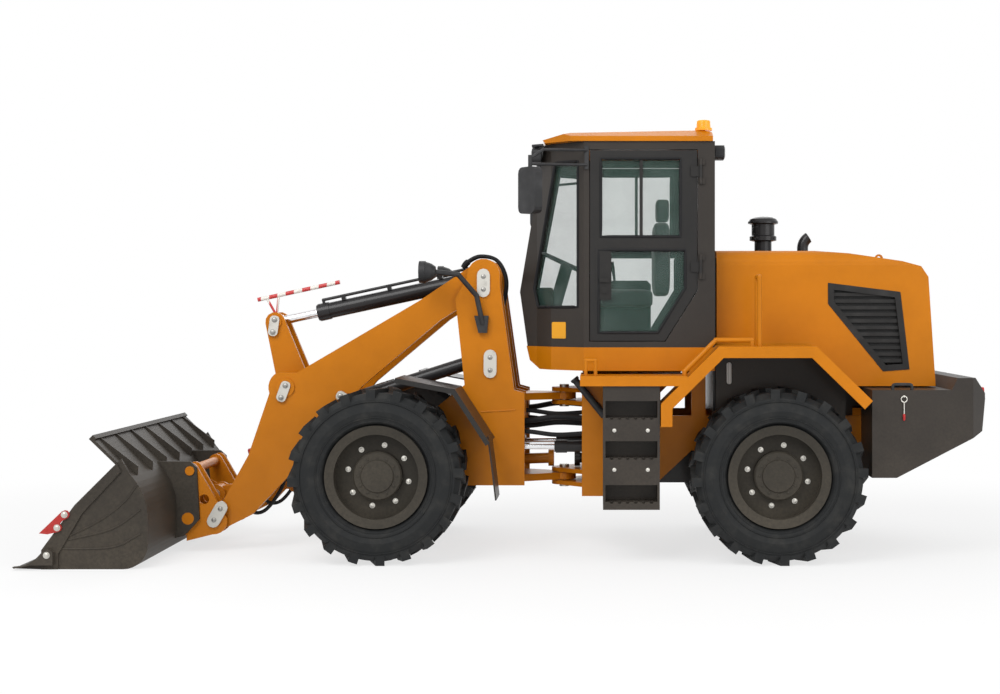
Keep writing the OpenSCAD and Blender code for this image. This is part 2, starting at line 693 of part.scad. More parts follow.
// Rear mudguards with an outer lip, and the walkway beside the cab
function rear_fender_line() = [[-664, 925], [-664, 1077], [-1048, 1458], [-1697, 1458], [-2068, 1097]];
fender_y = tyre_outer_y;
fender_top = rear_fender_line()[2][1];
walk_z = 1195;
walk_h = 67;
walk_wall = 10;
walk_ends = [-840, -128];
grip_hole_r = 17;
module walkway() {
    y0 = rail_half_w + seat_gap;
    difference() {
        block([walk_ends[0], y0, walk_z], [walk_ends[1], fender_y, walk_z + walk_h]);
        block([walk_ends[0] + walk_wall, y0 + walk_wall, walk_z - 1],
              [walk_ends[1] - walk_wall, fender_y - walk_wall, walk_z + walk_h - walk_wall]);
        for (x = [walk_ends[0] + 110:75:walk_ends[1] - 60], y = [fender_y - 60, fender_y - 135, fender_y - 210])
            pin_z([x, y], grip_hole_r, walk_z, walk_z + walk_h + 1);
    }
}
module rear_fenders() {
    line = rear_fender_line();
    color(yellow) both_sides() {
        plate(cab_half_w + 10, fender_y, band(line, fender_t));
        plate(fender_y - walk_wall, fender_y, band(line, lip_w));
        intersection() {
            plate(panel_y + panel_t + seat_gap, cab_half_w + 11, band(line, fender_t));
            block([-2200, 0, 0], [-1056, fender_y, 2000]);
        }
        walkway();
    }
}
// Handrails over the mudguards, a grab bar beside the hood and a small loop at the steps
rail_y = fender_y - 40;
rail_rise = 42;
module handrails() {
    walk_top = walk_z + walk_h + seat_gap;
    fender_seat = fender_top + seat_gap;
    slope = shifted([rear_fender_line()[1], rear_fender_line()[2]], -rail_rise);
    rise = (slope[1] - slope[0]) / (slope[1][1] - slope[0][1]);
    low = slope[0] + (walk_top + 30 - slope[0][1]) * rise;
    high = slope[0] + (fender_top + rail_rise - slope[0][1]) * rise;
    color(yellow) both_sides() {
        tube([[low[0], rail_y, walk_top], [low[0], rail_y, low[1]], [high[0], rail_y, high[1]],
              [-1271, rail_y, high[1]], [-1271, rail_y, fender_seat]], rail_r);
        tube([[-1320, rail_y, fender_seat], [-1320, rail_y, 1920], [-1320, rail_y - 150, 1920],
              [-1320, rail_y - 150, fender_seat]], rail_r);
        tube([[-165, rail_y, walk_top], [-165, rail_y, 1365], [-230, rail_y, 1365],
              [-230, rail_y, walk_top]], rail_r - 4);
    }
}
// Steps: a box with three toe holes, each tread's front edge notched for grip
step_ends = [-657, -280];
step_y = fender_y - 15;
step_low = 374;
tread_z = [427, 718, 984];
toe_depth = 140;
toe_h = 112;
step_cheek = 16;
notch_r = 13;
module side_steps() {
    color(dark_grey) both_sides() difference() {
        block([step_ends[0], rail_half_w + seat_gap, step_low], [step_ends[1], step_y, walk_z - seat_gap]);
        for (z = tread_z) {
            block([step_ends[0] + step_cheek, step_y - toe_depth, z],
                  [step_ends[1] - step_cheek, step_y + 1, z + toe_h]);
            for (x = [step_ends[0] + 55:53:step_ends[1] - 40]) pin_y([x, z], notch_r, step_y - 50, step_y + 1);
        }
    }
}
module side_panels() {
    color(dark_grey) both_sides() {
        plate(panel_y, panel_y + panel_t, [[-1062, 900], [-1062, fender_top - 2],
            [rear_fender_line()[3][0], fender_top - 2], [-1960, 1202], [-1960, 900]]);
        for (x = [-1200, -1800])
            block([x, rail_half_w + seat_gap, 900], [x + 60, panel_y + 1, 955]);
    }
}
panel_y = hood_half_w + 10;
panel_t = 15;
// Panel behind the cab that carries the hood's hinges
hood_hinge = [-1053, 2098];
hood_pin_r = 12;
module firewall() {
    color(black) {
        block([-1064, -490, rail_top + seat_gap], [-1046, 490, 2060]);
        both_sides() {
            for (y = [290, 376]) {
                block([-1064, y, 2050], [-1046, y + 14, hood_hinge[1]]);
                pin_y(hood_hinge, hood_pin_r, y, y + 14);
            }
            pin_y(hood_hinge, hood_pin_r - 4, 291, 389);
        }
    }
}

// Cab

cab_floor_z = 1285;
cab_sill_z = 1445;
cab_top_z = 2852;
function cab_plan() = [[320, -200], [320, 200], [185, 340], [80, 500], [-150, cab_half_w], [-1044, cab_half_w],
                       [-1044, -cab_half_w], [-150, -cab_half_w], [80, -500], [185, -340]];
function cab_side() = [[255, cab_sill_z], [312, 1830], [130, cab_top_z], [-1044, cab_top_z],
                       [-1044, cab_sill_z]];
// The opening that the roof closes, which ends behind the windscreen's header
function cab_plan_top() = [for (p = cab_plan()) [min(p[0], 130), p[1]]];
// The cab's outer form with every wall moved inwards by d
module cab_form(d) {
    intersection() {
        plan_plate(cab_floor_z, cab_top_z + 100, inset(cab_plan(), d));
        plate(-1000, 1000, inset(cab_side(), d));
    }
}
function door_outline() = [[-192, 1490], [-192, 2790], [-922, 2790], [-922, 1836], [-703, 1490]];
// Window openings, each narrowed by c
function quarter_window(c) = inset([[205, 1850], [50, 2720], [-110, 2720], [-110, 1720], [175, 1720]], c);
function screen_window(c) = inset([[150, 1890], [385, 2770], [-385, 2770], [-150, 1890]], c);
function rear_window(c) = inset([[560, 1900], [560, 2740], [-560, 2740], [-560, 1900]], c);
module window_cuts(c) {
    both_sides() plate(250, 900, quarter_window(c));
    translate([0, 0, 0]) rotate([90, 0, 90]) linear_extrude(500) polygon(screen_window(c));
    translate([-1200, 0, 0]) rotate([90, 0, 90]) linear_extrude(300) polygon(rear_window(c));
}
// Door hinges: knuckles of the frame above and below each knuckle of the door
hinge_at = [-945, cab_half_w + 12];
hinge_r = 11;
hinge_len = 90;
door_hinge_z = [1950, 2600];
module cab_frame() {
    color(dark_grey) both_sides() for (z = door_hinge_z, end = [-40 - seat_gap, hinge_len + seat_gap]) {
        pin_z(hinge_at, hinge_r, z + end, z + end + 40);
        block([-975, cab_half_w - 4, z + end], [hinge_at[0], hinge_at[1], z + end + 40]);
    }
    color(dark_grey) difference() {
        cab_form(0);
        cab_form(cab_wall);
        plan_plate(cab_floor_z, cab_top_z + 1, inset(cab_plan_top(), cab_wall));
        window_cuts(0);
        both_sides() plate(cab_half_w - 100, cab_half_w + 200, inset(door_outline(), -6));
    }
}
module cab_glass() {
    color([0.5, 0.6, 0.6, 0.4]) intersection() {
        difference() {
            cab_form(cab_wall / 2);
            cab_form(cab_wall / 2 + glass_t);
        }
        window_cuts(seat_gap);
    }
}
module cab_floor() {
    color(yellow) both_sides()
        block([-400, rail_half_w - plate_t, 1242 + seat_gap], [-180, rail_half_w, cab_floor_z + 1]);
    color(yellow) intersection() {
        plan_plate(1200, 1500, cab_plan());
        plate(-cab_half_w, cab_half_w, [[262, cab_sill_z - seat_gap], [-1044, cab_sill_z - seat_gap],
            [-1044, cab_floor_z], [165, cab_floor_z], [238, 1345]]);
    }
}
// Roof cap with sloping edges
roof_half_w = cab_half_w + 15;
roof_h = 86;
function roof_side() = let(z = cab_top_z + seat_gap) [[120, z], [136, z + 22], [-60, z + 62],
    [-980, z + roof_h], [-1030, z + roof_h - 20], [-1030, z]];
module cab_roof() {
    z = cab_top_z + seat_gap;
    color(yellow) intersection() {
        plate(-roof_half_w, roof_half_w, roof_side());
        end_plate([-2000, 0, 0], 4000, [[-roof_half_w, z], [roof_half_w, z], [roof_half_w, z + 34],
            [roof_half_w - 130, z + 90], [130 - roof_half_w, z + 90], [-roof_half_w, z + 34]]);
        plan_plate(z - 1, z + 200, [[200, -500], [200, 500], [-60, roof_half_w], [-1100, roof_half_w],
            [-1100, -roof_half_w], [-60, -roof_half_w]]);
    }
}
// Sun visor over the windscreen, with work lamps under it and behind the roof's rear edge
lamp_box = [62, 150, 96];
visor_back_x = 152;
visor_root_x = 132.9;
visor_x = 215;
visor_half_w = 480;
visor_t = 14;
module roof_lamps() {
    color(black) plan_plate(cab_top_z - visor_t, cab_top_z, [[visor_x, -visor_half_w], [visor_x, visor_half_w],
        [visor_root_x, visor_half_w + 60], [visor_root_x, -visor_half_w - 60]]);
    color(black) both_sides() {
        translate([visor_back_x, 430, cab_top_z - visor_t - lamp_box[2] / 2 - 14]) {
            end_plate([0, 0, 0], lamp_box[0], rounded(lamp_box[1], lamp_box[2], 24));
            block([16, -20, lamp_box[2] / 2 - 1], [44, 20, lamp_box[2] / 2 + 14]);
        }
        translate([-1056 - lamp_box[0], 520, 2790]) {
            end_plate([0, 0, 0], lamp_box[0], rounded(lamp_box[1], lamp_box[2], 24));
            block([lamp_box[0] - 1, -30, -20], [lamp_box[0] + 12 - seat_gap, 30, 20]);
        }
    }
}
// Flashing lamp on the roof's rear edge
beacon_at = [-975, 560];
beacon_seat = roof_h + seat_gap;
module beacon() {
    color([0.9, 0.45, 0.05]) translate([beacon_at[0], beacon_at[1], cab_top_z + seat_gap + beacon_seat])
        rotate_extrude() polygon(concat([[0, 0], [60, 0], [60, 18], [50, 20], [47, 62]],
            arc([37, 62], 10, 0, 90, 3), [[0, 76]]));
}
// Mirrors, each on two arms from the post in front of the door
mirror_at = [206, 925, 2499];
mirror_box = [64, 190, 310];
mirror_turn = 38;
mirror_foot = [-168, cab_half_w + seat_gap];
module mirrors() {
    head = mirror_at + [0, 0, mirror_box[2] / 2 + 40];
    color(black) both_sides() {
        translate(mirror_at) rotate([0, 0, mirror_turn])
            end_plate([-mirror_box[0] / 2, 0, 0], mirror_box[0], rounded(mirror_box[1], mirror_box[2], 40));
        bar(mirror_at, head + [0, 0, 40], 14);
        tube([[mirror_foot[0], mirror_foot[1] + 12, 2790], [120, 880, 2775], head + [0, 0, 18]], 10);
        bar([mirror_foot[0], mirror_foot[1] + 10, 2690], head - [0, 0, 20], 10);
        block([mirror_foot[0] - 14, mirror_foot[1], 2660], [mirror_foot[0] + 14, mirror_foot[1] + 12, 2820]);
    }
}
module seat() {
    color(black) {
        block([-640, -240, cab_sill_z], [-240, 240, 1850]);
        block([-760, -240, 1700], [-639, 240, 2500]);
    }
}
module steering_column() {
    color(black) {
        intersection() {
            bar([160, 0, 1400], [-20, 0, 2030], 45);
            block([-500, -200, cab_sill_z + cab_wall + seat_gap], [500, 200, 2200]);
        }
        translate([-20, 0, 2030]) rotate([0, -25, 0]) rotate_extrude() translate([190, 0]) circle(r = 14);
        translate([-20, 0, 2030]) rotate([0, -25, 0]) translate([0, -185, -5]) cube([20, 370, 10]);
    }
}

// Hood and what stands on it

function hood_side() = [[-1070, 1172], [-1070, 2123], [-1722, 2116], [-1991, 2096], [-2360, 2040],
                        [-2490, 2005], [-2540, 1930], [-2590, 1172]];
function hood_end(w) = concat([[w, 1000]], arc([w - 110, 2010], 110, 0, 70, 5), [[0, 2124]],
    arc([-w + 110, 2010], 110, 110, 180, 5), [[-w, 1000]]);
module hood_form(d) {
    intersection() {
        plate(-1000, 1000, inset(hood_side(), d));
        end_plate([-3000, 0, 0], 3000, inset(hood_end(hood_half_w), d));
    }
}
function side_grille(c) = inset([[-1842, 1742], [-1842, 1889], [-2345, 1826], [-2408, 1288], [-2224, 1274]], c);
module hood() {
    color(yellow) difference() {
        union() {
            hood_form(0);
            both_sides() {
                pin_y(hood_hinge, hood_pin_r + 8, 312, 368);
                block([-1090, 312, hood_hinge[1] - 15], [hood_hinge[0], 368, hood_hinge[1] + 15]);
            }
        }
        both_sides() pin_y(hood_hinge, hood_pin_r - 4 + run, 300, 380);
        hood_form(hood_wall);
        // Open front and bottom
        block([-1300, -hood_half_w + hood_wall, 1100], [-1000, hood_half_w - hood_wall, 2000]);
        block([-2540, -hood_half_w + hood_wall, 1100], [-1000, hood_half_w - hood_wall, 1250]);
        both_sides() plate(400, 700, side_grille(0));
        block(rear_grille_lo, rear_grille_hi);
        block([-1830, -150, 2000], [-1330, 240, 2200]);
    }
    // Lifting eye
    color(yellow) difference() {
        plate(-10, 10, concat([[-2345, 2034], [-2245, 2050]], arc([-2290, 2076], 30, 0, 180, 8)));
        pin_y([-2290, 2078], 14, -20, 20);
    }
}
rear_grille_lo = [-2700, -400, 1330];
rear_grille_hi = [-2500, 400, 1880];
grille_border = 42;
grille_proud = 4;
slat_pitch = 46;
slat_h = 24;
grille_gap = [0, seat_gap, seat_gap];
module hood_grilles() {
    color(black) {
        // Side grilles: a border with slats set back inside it
        both_sides() {
            difference() {
                plate(hood_half_w - hood_wall + 4, hood_half_w + grille_proud, side_grille(seat_gap));
                plate(0, 2 * hood_half_w, side_grille(grille_border));
            }
            intersection() {
                plate(hood_half_w - hood_wall + 4, hood_half_w - 8, side_grille(grille_border - 1));
                for (z = [1290:slat_pitch:1880]) block([-2500, 0, z], [-1800, hood_half_w, z + slat_h]);
            }
        }
        // Rear grille: a border with louvres
        intersection() {
            difference() {
                hood_form(-grille_proud);
                hood_form(hood_wall - 4);
            }
            block(rear_grille_lo + grille_gap, rear_grille_hi - grille_gap);
            union() {
                difference() {
                    block(rear_grille_lo, rear_grille_hi);
                    block(rear_grille_lo + [-1, grille_border, grille_border],
                          rear_grille_hi + [1, -grille_border, -grille_border]);
                }
                for (z = [rear_grille_lo[2] + grille_border + 12:slat_pitch:rear_grille_hi[2] - grille_border])
                    block([rear_grille_lo[0], rear_grille_lo[1], z],
                          [rear_grille_hi[0], rear_grille_hi[1], z + slat_h]);
            }
        }
    }
}
// Air cleaner with its rain cap, and the exhaust pipe bent to the rear
cleaner_at = [-1443, 40];
exhaust_at = [-1730, 40];
exhaust_r = 40;
exhaust_bend_r = 90;
exhaust_top = 2150;
module air_pipes() {
    z = 1720 + seat_gap;
    color(black) {
        translate([cleaner_at[0], cleaner_at[1], 0]) rotate_extrude() polygon(concat([[0, z], [62, z], [62, 2195],
            [97, 2203], [97, 2232], [83, 2240], [83, 2318], [109, 2326], [109, 2340]],
            [for (a = [30:20:90]) [109 * cos(a), 2340 + 40 * sin(a)]]));
        translate([exhaust_at[0], exhaust_at[1], z]) cylinder(r = exhaust_r, h = exhaust_top - z);
        translate([exhaust_at[0] - exhaust_bend_r, exhaust_at[1], exhaust_top]) rotate([90, 0, 0])
            rotate_extrude(angle = 58) translate([exhaust_bend_r, 0]) circle(r = exhaust_r);
    }
}

// Doors, modelled on the left

function door_upper_window(c) = inset([[-265, 2200], [-265, 2735], [-810, 2735], [-810, 2200]], c);
function door_lower_window(c) = inset([[-250, 1545], [-250, 2110], [-842, 2110], [-842, 1850], [-655, 1545]], c);
module door() {
    color(dark_grey) difference() {
        union() {
            plate(cab_half_w - cab_wall, cab_half_w, door_outline());
            for (z = door_hinge_z) {
                pin_z(hinge_at, hinge_r, z, z + hinge_len);
                block([hinge_at[0], cab_half_w + 1, z + 10], [-880, hinge_at[1], z + hinge_len - 10]);
                block([-915, cab_half_w - 4, z + 10], [-880, cab_half_w + 2, z + hinge_len - 10]);
            }
        }
        plate(500, 900, door_upper_window(0));
        plate(500, 900, door_lower_window(0));
    }
    // Middle rail of the sliding window, lock plate and handle
    color(dark_grey) {
        block([-552, cab_half_w - cab_wall / 2 + glass_t + seat_gap, 2199], [-530, cab_half_w - 6, 2736]);
        block([-338, cab_half_w - 12, 1770], [-232, cab_half_w + 3, 2111]);
        pin_y([-290, 1836], 22, cab_half_w, cab_half_w + 16);
        block([-322, cab_half_w, 1890], [-256, cab_half_w + 22, 1916]);
    }
}
module door_glass() {
    color([0.5, 0.6, 0.6, 0.4]) {
        plate(cab_half_w - cab_wall / 2, cab_half_w - cab_wall / 2 + glass_t, door_upper_window(seat_gap));
        plate(cab_half_w - cab_wall / 2, cab_half_w - cab_wall / 2 + glass_t, door_lower_window(seat_gap));
    }
}

// Moves the steering hinge frame to the machine's own origin
module placed() {
    translate([-origin_x, 0, 0]) children();
}
module wheel_tyre(x, s) placed() wheel_at(x, s) tyre();
module wheel_rim(x, s) placed() wheel_at(x, s) rim();

placed() rear_frame();
placed() hinge_pins();
placed() rear_axle();
placed() transmission();
placed() engine();
placed() counterweight();
placed() rear_fenders();
placed() side_steps();
placed() side_panels();
placed() firewall();
placed() cab_floor();
placed() cab_frame();
placed() cab_glass();
placed() cab_roof();
placed() roof_lamps();
placed() rear_lamps();
placed() beacon();
placed() mirrors();
placed() handrails();
placed() seat();
placed() steering_column();
placed() air_pipes();
placed() hood();
placed() hood_grilles();
placed() door();  // door_left
placed() door_glass();  // door_left_glass
placed() mirror([0, 1, 0]) door();  // door_right
placed() mirror([0, 1, 0]) door_glass();  // door_right_glass
placed() front_frame();
placed() front_pins();
placed() front_axle();
placed() front_fenders();
placed() front_lamps();
wheel_tyre(front_axle_x, 1);  // tyre_front_left
wheel_rim(front_axle_x, 1);  // rim_front_left
wheel_tyre(front_axle_x, -1);  // tyre_front_right
wheel_rim(front_axle_x, -1);  // rim_front_right
wheel_tyre(rear_axle_x, 1);  // tyre_rear_left
wheel_rim(rear_axle_x, 1);  // rim_rear_left
wheel_tyre(rear_axle_x, -1);  // tyre_rear_right
wheel_rim(rear_axle_x, -1);  // rim_rear_right
placed() boom();
placed() lever();
placed() level_indicator();
placed() tilt_link();
placed() bucket();
placed() bucket_edge();
placed() hitch();
placed() hitch_pins();
placed() tilt_barrel();
placed() tilt_rod();
placed() lift_barrels();
placed() lift_rods();
placed() steer_barrel();  // steer_barrel_left
placed() steer_rod();  // steer_rod_left
placed() mirror([0, 1, 0]) steer_barrel();  // steer_barrel_right
placed() mirror([0, 1, 0]) steer_rod();  // steer_rod_right
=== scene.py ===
"""Looks of an articulated wheel loader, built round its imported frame."""
import json
import logging
import math
from dataclasses import dataclass, field
from enum import Enum
from functools import cache

import bpy
import numpy as np
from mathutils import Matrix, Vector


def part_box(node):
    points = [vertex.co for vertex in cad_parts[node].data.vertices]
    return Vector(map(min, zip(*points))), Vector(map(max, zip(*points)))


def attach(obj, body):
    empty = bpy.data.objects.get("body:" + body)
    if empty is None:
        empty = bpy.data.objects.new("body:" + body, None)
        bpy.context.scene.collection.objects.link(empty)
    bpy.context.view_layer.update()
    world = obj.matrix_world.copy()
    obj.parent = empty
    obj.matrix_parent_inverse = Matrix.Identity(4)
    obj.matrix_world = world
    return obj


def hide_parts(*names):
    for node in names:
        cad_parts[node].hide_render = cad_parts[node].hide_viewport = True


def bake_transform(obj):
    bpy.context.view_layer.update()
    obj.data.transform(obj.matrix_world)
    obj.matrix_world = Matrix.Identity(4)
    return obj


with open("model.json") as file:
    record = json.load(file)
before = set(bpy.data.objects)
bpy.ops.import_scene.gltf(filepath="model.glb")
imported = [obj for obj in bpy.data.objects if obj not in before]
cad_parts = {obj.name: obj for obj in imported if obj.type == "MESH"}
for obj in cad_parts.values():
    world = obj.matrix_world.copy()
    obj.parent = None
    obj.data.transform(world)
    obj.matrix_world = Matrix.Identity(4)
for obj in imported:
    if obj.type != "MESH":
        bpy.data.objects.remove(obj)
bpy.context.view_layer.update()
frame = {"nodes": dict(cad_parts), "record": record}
LOG = logging.getLogger("loader")
# Metres in a millimetre, and the steering hinge's X in the frame: places in millimetres start there.
MM = 0.001
HINGE_X = -0.3475
# Faces that meet at more than this angle, in degrees, keep a sharp edge.
SHARP_ANGLE = 40
# The left side is towards +Y.
SIDES = (("left", 1), ("right", -1))
SIGNS = (1, -1)
UP = np.array([0.0, 0.0, 1.0])
WHITE = (1.0, 1.0, 1.0, 1.0)
Flat = tuple[float, float]
Point = tuple[float, float, float]
Outline = tuple[Flat, ...]
Path = tuple[Point, ...]
Box = tuple[Point, Point]
Locks = tuple[tuple[Flat, float], ...]
Colour = tuple[float, float, float]
Faces = list[tuple[int, ...]]
Surface = tuple[np.ndarray, Faces]


def at(points: list | tuple | np.ndarray) -> np.ndarray:
    """Turns millimetres measured from the steering hinge on the ground into metres of the frame.

    Args:
        points: one place, or rows of X, Y, Z, in millimetres.
    Returns:
        The same in metres, moved to the frame's origin.
    """
    return np.asarray(points, float) * MM + np.array([HINGE_X, 0.0, 0.0])


class Slot(Enum):
    """The record's material slots."""
    YELLOW = "yellow_paint"
    DARK = "dark_paint"
    RIM = "rim_paint"
    TYRE = "tyre_rubber"
    PLASTIC = "black_plastic"
    BLACK = "black_paint"
    CHROME = "rod_chrome"
    STEEL = "pin_steel"
    GLASS = "window_glass"
    AMBER = "amber_lens"
    RED = "red_paint"
    TAIL = "red_lens"
    CLOTH = "seat_cloth"


class Signal:
    """A shader socket that adds Math nodes when it is used in an expression."""

    def __init__(self, tree: "Tree", socket: bpy.types.NodeSocket) -> None:
        """Keeps the socket and the tree that it belongs to."""
        self.tree = tree
        self.socket = socket

    def math(self, operation: str, *others: "Signal | float") -> "Signal":
        """Adds a Math node of the given operation on this socket and the other values."""
        return self.tree.node("Math", {"operation": operation}, dict(enumerate((self, *others))))

    def __add__(self, other: "Signal | float") -> "Signal":
        """Sum."""
        return self.math("ADD", other)

    def __mul__(self, other: "Signal | float") -> "Signal":
        """Product."""
        return self.math("MULTIPLY", other)

    def __rsub__(self, other: float) -> "Signal":
        """A number minus this signal."""
        return (self * -1.0) + other

    __radd__ = __add__
    __rmul__ = __mul__

    def step(self, low: float, high: float) -> "Signal":
        """Rises smoothly from 0 at low to 1 at high."""
        settings = {"interpolation_type": "SMOOTHSTEP"}
        return self.tree.node("MapRange", settings, {0: self, 1: low, 2: high, 3: 0.0, 4: 1.0})


def opaque(value: object) -> object:
    """Gives a colour its alpha of 1, and leaves any other value as it is."""
    return (*value, 1.0) if isinstance(value, tuple) else value


class Tree:
    """A node tree under construction."""

    def __init__(self, nodes: bpy.types.NodeTree) -> None:
        """Keeps the node tree."""
        self.tree = nodes

    def feed(self, socket: bpy.types.NodeSocket, value: object) -> None:
        """Links a signal to a socket, or sets the socket to any other value.

        Args:
            socket: the socket that takes the value.
            value: a signal, a number or a row of numbers.
        """
        if isinstance(value, Signal):
            self.tree.links.new(value.socket, socket)
        else:
            socket.default_value = value

    def node(self, kind: str, settings: dict, inputs: dict, output: int | str = 0) -> Signal:
        """Adds any node.

        Args:
            kind: the node's type without its ShaderNode prefix.
            settings: attributes that are set first.
            inputs: values or signals by socket name or number.
            output: which output to hand back.
        Returns:
            That output as a signal.
        """
        node = self.tree.nodes.new("ShaderNode" + kind)
        for key, value in settings.items():
            setattr(node, key, value)
        for key, value in inputs.items():
            self.feed(node.inputs[key], value)
        return Signal(self, node.outputs[output])

    def looked_at(self) -> Signal:
        """Is 1 for what the camera sees, straight or by way of glass or metal, and 0 for other light."""
        kinds = ("Is Camera Ray", "Is Transmission Ray", "Is Glossy Ray")
        seen, passed, shone = (self.node("LightPath", {}, {}, kind) for kind in kinds)
        return (seen + passed + shone).math("MINIMUM", 1.0)


class Shade(Tree):
    """A material under construction."""

    def __init__(self, name: str) -> None:
        """Starts a material whose tree holds a Principled shader."""
        self.material = bpy.data.materials.new(name)
        self.material.use_nodes = True
        super().__init__(self.material.node_tree)
        self.shader = self.tree.nodes["Principled BSDF"]
        self.out = self.tree.nodes["Material Output"]

    def place(self) -> Signal:
        """Object coordinates."""
        return self.node("TexCoord", {}, {}, "Object")

    def axis(self, name: str) -> Signal:
        """One coordinate, X, Y or Z, of the object's own space."""
        return self.node("SeparateXYZ", {}, {0: self.place()}, name)

    def noise(self, scale: float, detail: float = 4.0) -> Signal:
        """Noise on the object's coordinates, about 0.5 on average."""
        inputs = {"Vector": self.place(), "Scale": scale, "Detail": detail, "Roughness": 0.6}
        return self.node("TexNoise", {}, inputs)

    def blend(self, share: Signal, low: Colour | Signal, high: Colour | Signal) -> Signal:
        """Mixes two colours by a signal."""
        return self.node("Mix", {"data_type": "RGBA"}, {0: share, 6: opaque(low), 7: opaque(high)}, 2)

    def wire(self, **inputs: object) -> None:
        """Sets or links the Principled shader's sockets; underscores stand for spaces."""
        for key, value in inputs.items():
            self.feed(self.shader.inputs[key.replace("_", " ")], opaque(value))

    def bump(self, height: Signal, strength: float, depth: float) -> None:
        """Feeds a height to the shader's normal through a Bump node."""
        inputs = {"Height": height, "Strength": strength, "Distance": depth}
        self.wire(Normal=self.node("Bump", {}, inputs))


@dataclass(frozen=True)
class Coat:
    """A finish; each kind of finish wires its own shader."""
    name: str

    def dress(self, s: Shade) -> None:
        """Leaves the shader plain."""

    def make(self) -> bpy.types.Material:
        """Builds the material."""
        s = Shade(self.name)
        self.dress(s)
        return s.material


@dataclass(frozen=True)
class Paint(Coat):
    """Sprayed paint with orange peel, faint unevenness and dust that gathers low down.

    Where upper is given, the paint above that height is of the second colour.
    """
    colour: Colour
    rough: float = 0.38
    coat: float = 0.1
    dust: float = 0.14
    grain: float = 0.0
    gloss: float = 0.2
    upper: float = 0.0
    second: Colour = (0.44, 0.016, 0.018)
    dust_colour: Colour = (0.22, 0.18, 0.13)
    dust_fall: Flat = (0.1, 1.5)
    dust_most: float = 0.6
    patch_scale: float = 2.2
    patch_span: Flat = (0.3, 0.72)
    patch_tone: float = 0.86
    speck_scale: float = 55.0
    peel_scale: float = 260.0

    def dress(self, s: Shade) -> None:
        """Wires the shader."""
        patches = s.noise(self.patch_scale)
        specks = s.noise(self.speck_scale, 6.0)
        # Dust is thickest near the ground and thins to about a fifth higher up.
        low = 1.0 - s.axis("Z").step(*self.dust_fall)
        thick = patches * specks * (low * 0.9 + 0.25) * (self.dust * 4.0)
        dust = thick.math("MINIMUM", self.dust_most)
        deep = tuple(c * self.patch_tone for c in self.colour)
        body = s.blend(patches.step(*self.patch_span), deep, self.colour)
        if self.upper:
            above = s.axis("Z").step(self.upper - MM, self.upper + MM)
            body = s.blend(above, body, self.second)
        s.wire(Base_Color=s.blend(dust, body, self.dust_colour), Specular_IOR_Level=self.gloss,
               Roughness=specks * 0.12 + dust * 0.5 + (self.rough - 0.06),
               Coat_Weight=self.coat, Coat_Roughness=0.12)
        s.bump(specks * self.grain + s.noise(self.peel_scale, 2.0) * 0.15, 0.25, 0.0008)


@dataclass(frozen=True)
class Rubber(Coat):
    """Moulded rubber, paler where it is scuffed."""
    colour: Colour = (0.013, 0.014, 0.0145)
    worn: Colour = (0.052, 0.05, 0.045)
    wear: float = 0.5
    gloss: float = 0.22
    scuff_scale: float = 9.0
    scuff_span: Flat = (0.42, 0.8)
    fine_scale: float = 160.0
    pebble_scale: float = 24.0

    def dress(self, s: Shade) -> None:
        """Wires the shader."""
        scuff = s.noise(self.scuff_scale, 8.0).step(*self.scuff_span) * self.wear
        fine = s.noise(self.fine_scale, 5.0)
        s.wire(Base_Color=s.blend(scuff, self.colour, self.worn), Specular_IOR_Level=self.gloss,
               Roughness=scuff * 0.2 + fine * 0.12 + 0.58)
        s.bump(fine + s.noise(self.pebble_scale), 0.35, 0.0025)


@dataclass(frozen=True)
class Metal(Coat):
    """Bare metal with fine scratches along one axis."""
    colour: Colour
    rough: float
    stretch: Point = (60.0, 4.0, 60.0)
    line_scale: float = 6.0
    stain_scale: float = 14.0
    stain_span: Flat = (0.5, 0.85)
    stain_tone: float = 0.6

    def dress(self, s: Shade) -> None:
        """Wires the shader."""
        drawn = s.node("Mapping", {}, {"Vector": s.place(), "Scale": self.stretch})
        lines = s.node("TexNoise", {}, {"Vector": drawn, "Scale": self.line_scale, "Detail": 6.0})
        stain = s.noise(self.stain_scale).step(*self.stain_span)
        dull = tuple(c * self.stain_tone for c in self.colour)
        s.wire(Base_Color=s.blend(stain, self.colour, dull), Metallic=1.0,
               Roughness=lines * 0.18 + stain * 0.15 + self.rough)
        s.bump(lines, 0.12, 0.0006)


@dataclass(frozen=True)
class Moulded(Coat):
    """Grained plastic, or a coloured lens when it is clear or glows."""
    colour: Colour
    rough: float = 0.5
    grain: float = 1.0
    clear: float = 0.0
    glow: float = 0.0
    grain_scale: float = 420.0
    haze_scale: float = 7.0
    haze_span: Flat = (0.35, 0.8)

    def dress(self, s: Shade) -> None:
        """Wires the shader."""
        grain = s.noise(self.grain_scale, 3.0)
        haze = s.noise(self.haze_scale)
        pale = tuple(min(1.0, c * 1.6 + 0.012) for c in self.colour)
        tone = s.blend(haze.step(*self.haze_span), self.colour, pale)
        s.wire(Base_Color=tone, Roughness=grain * 0.1 + haze * 0.12 + (self.rough - 0.1),
               Transmission_Weight=self.clear, IOR=1.5, Specular_IOR_Level=0.3)
        if self.glow:
            s.wire(Emission_Color=tone, Emission_Strength=self.glow)
        s.bump(grain, 0.2 * self.grain, 0.0012)


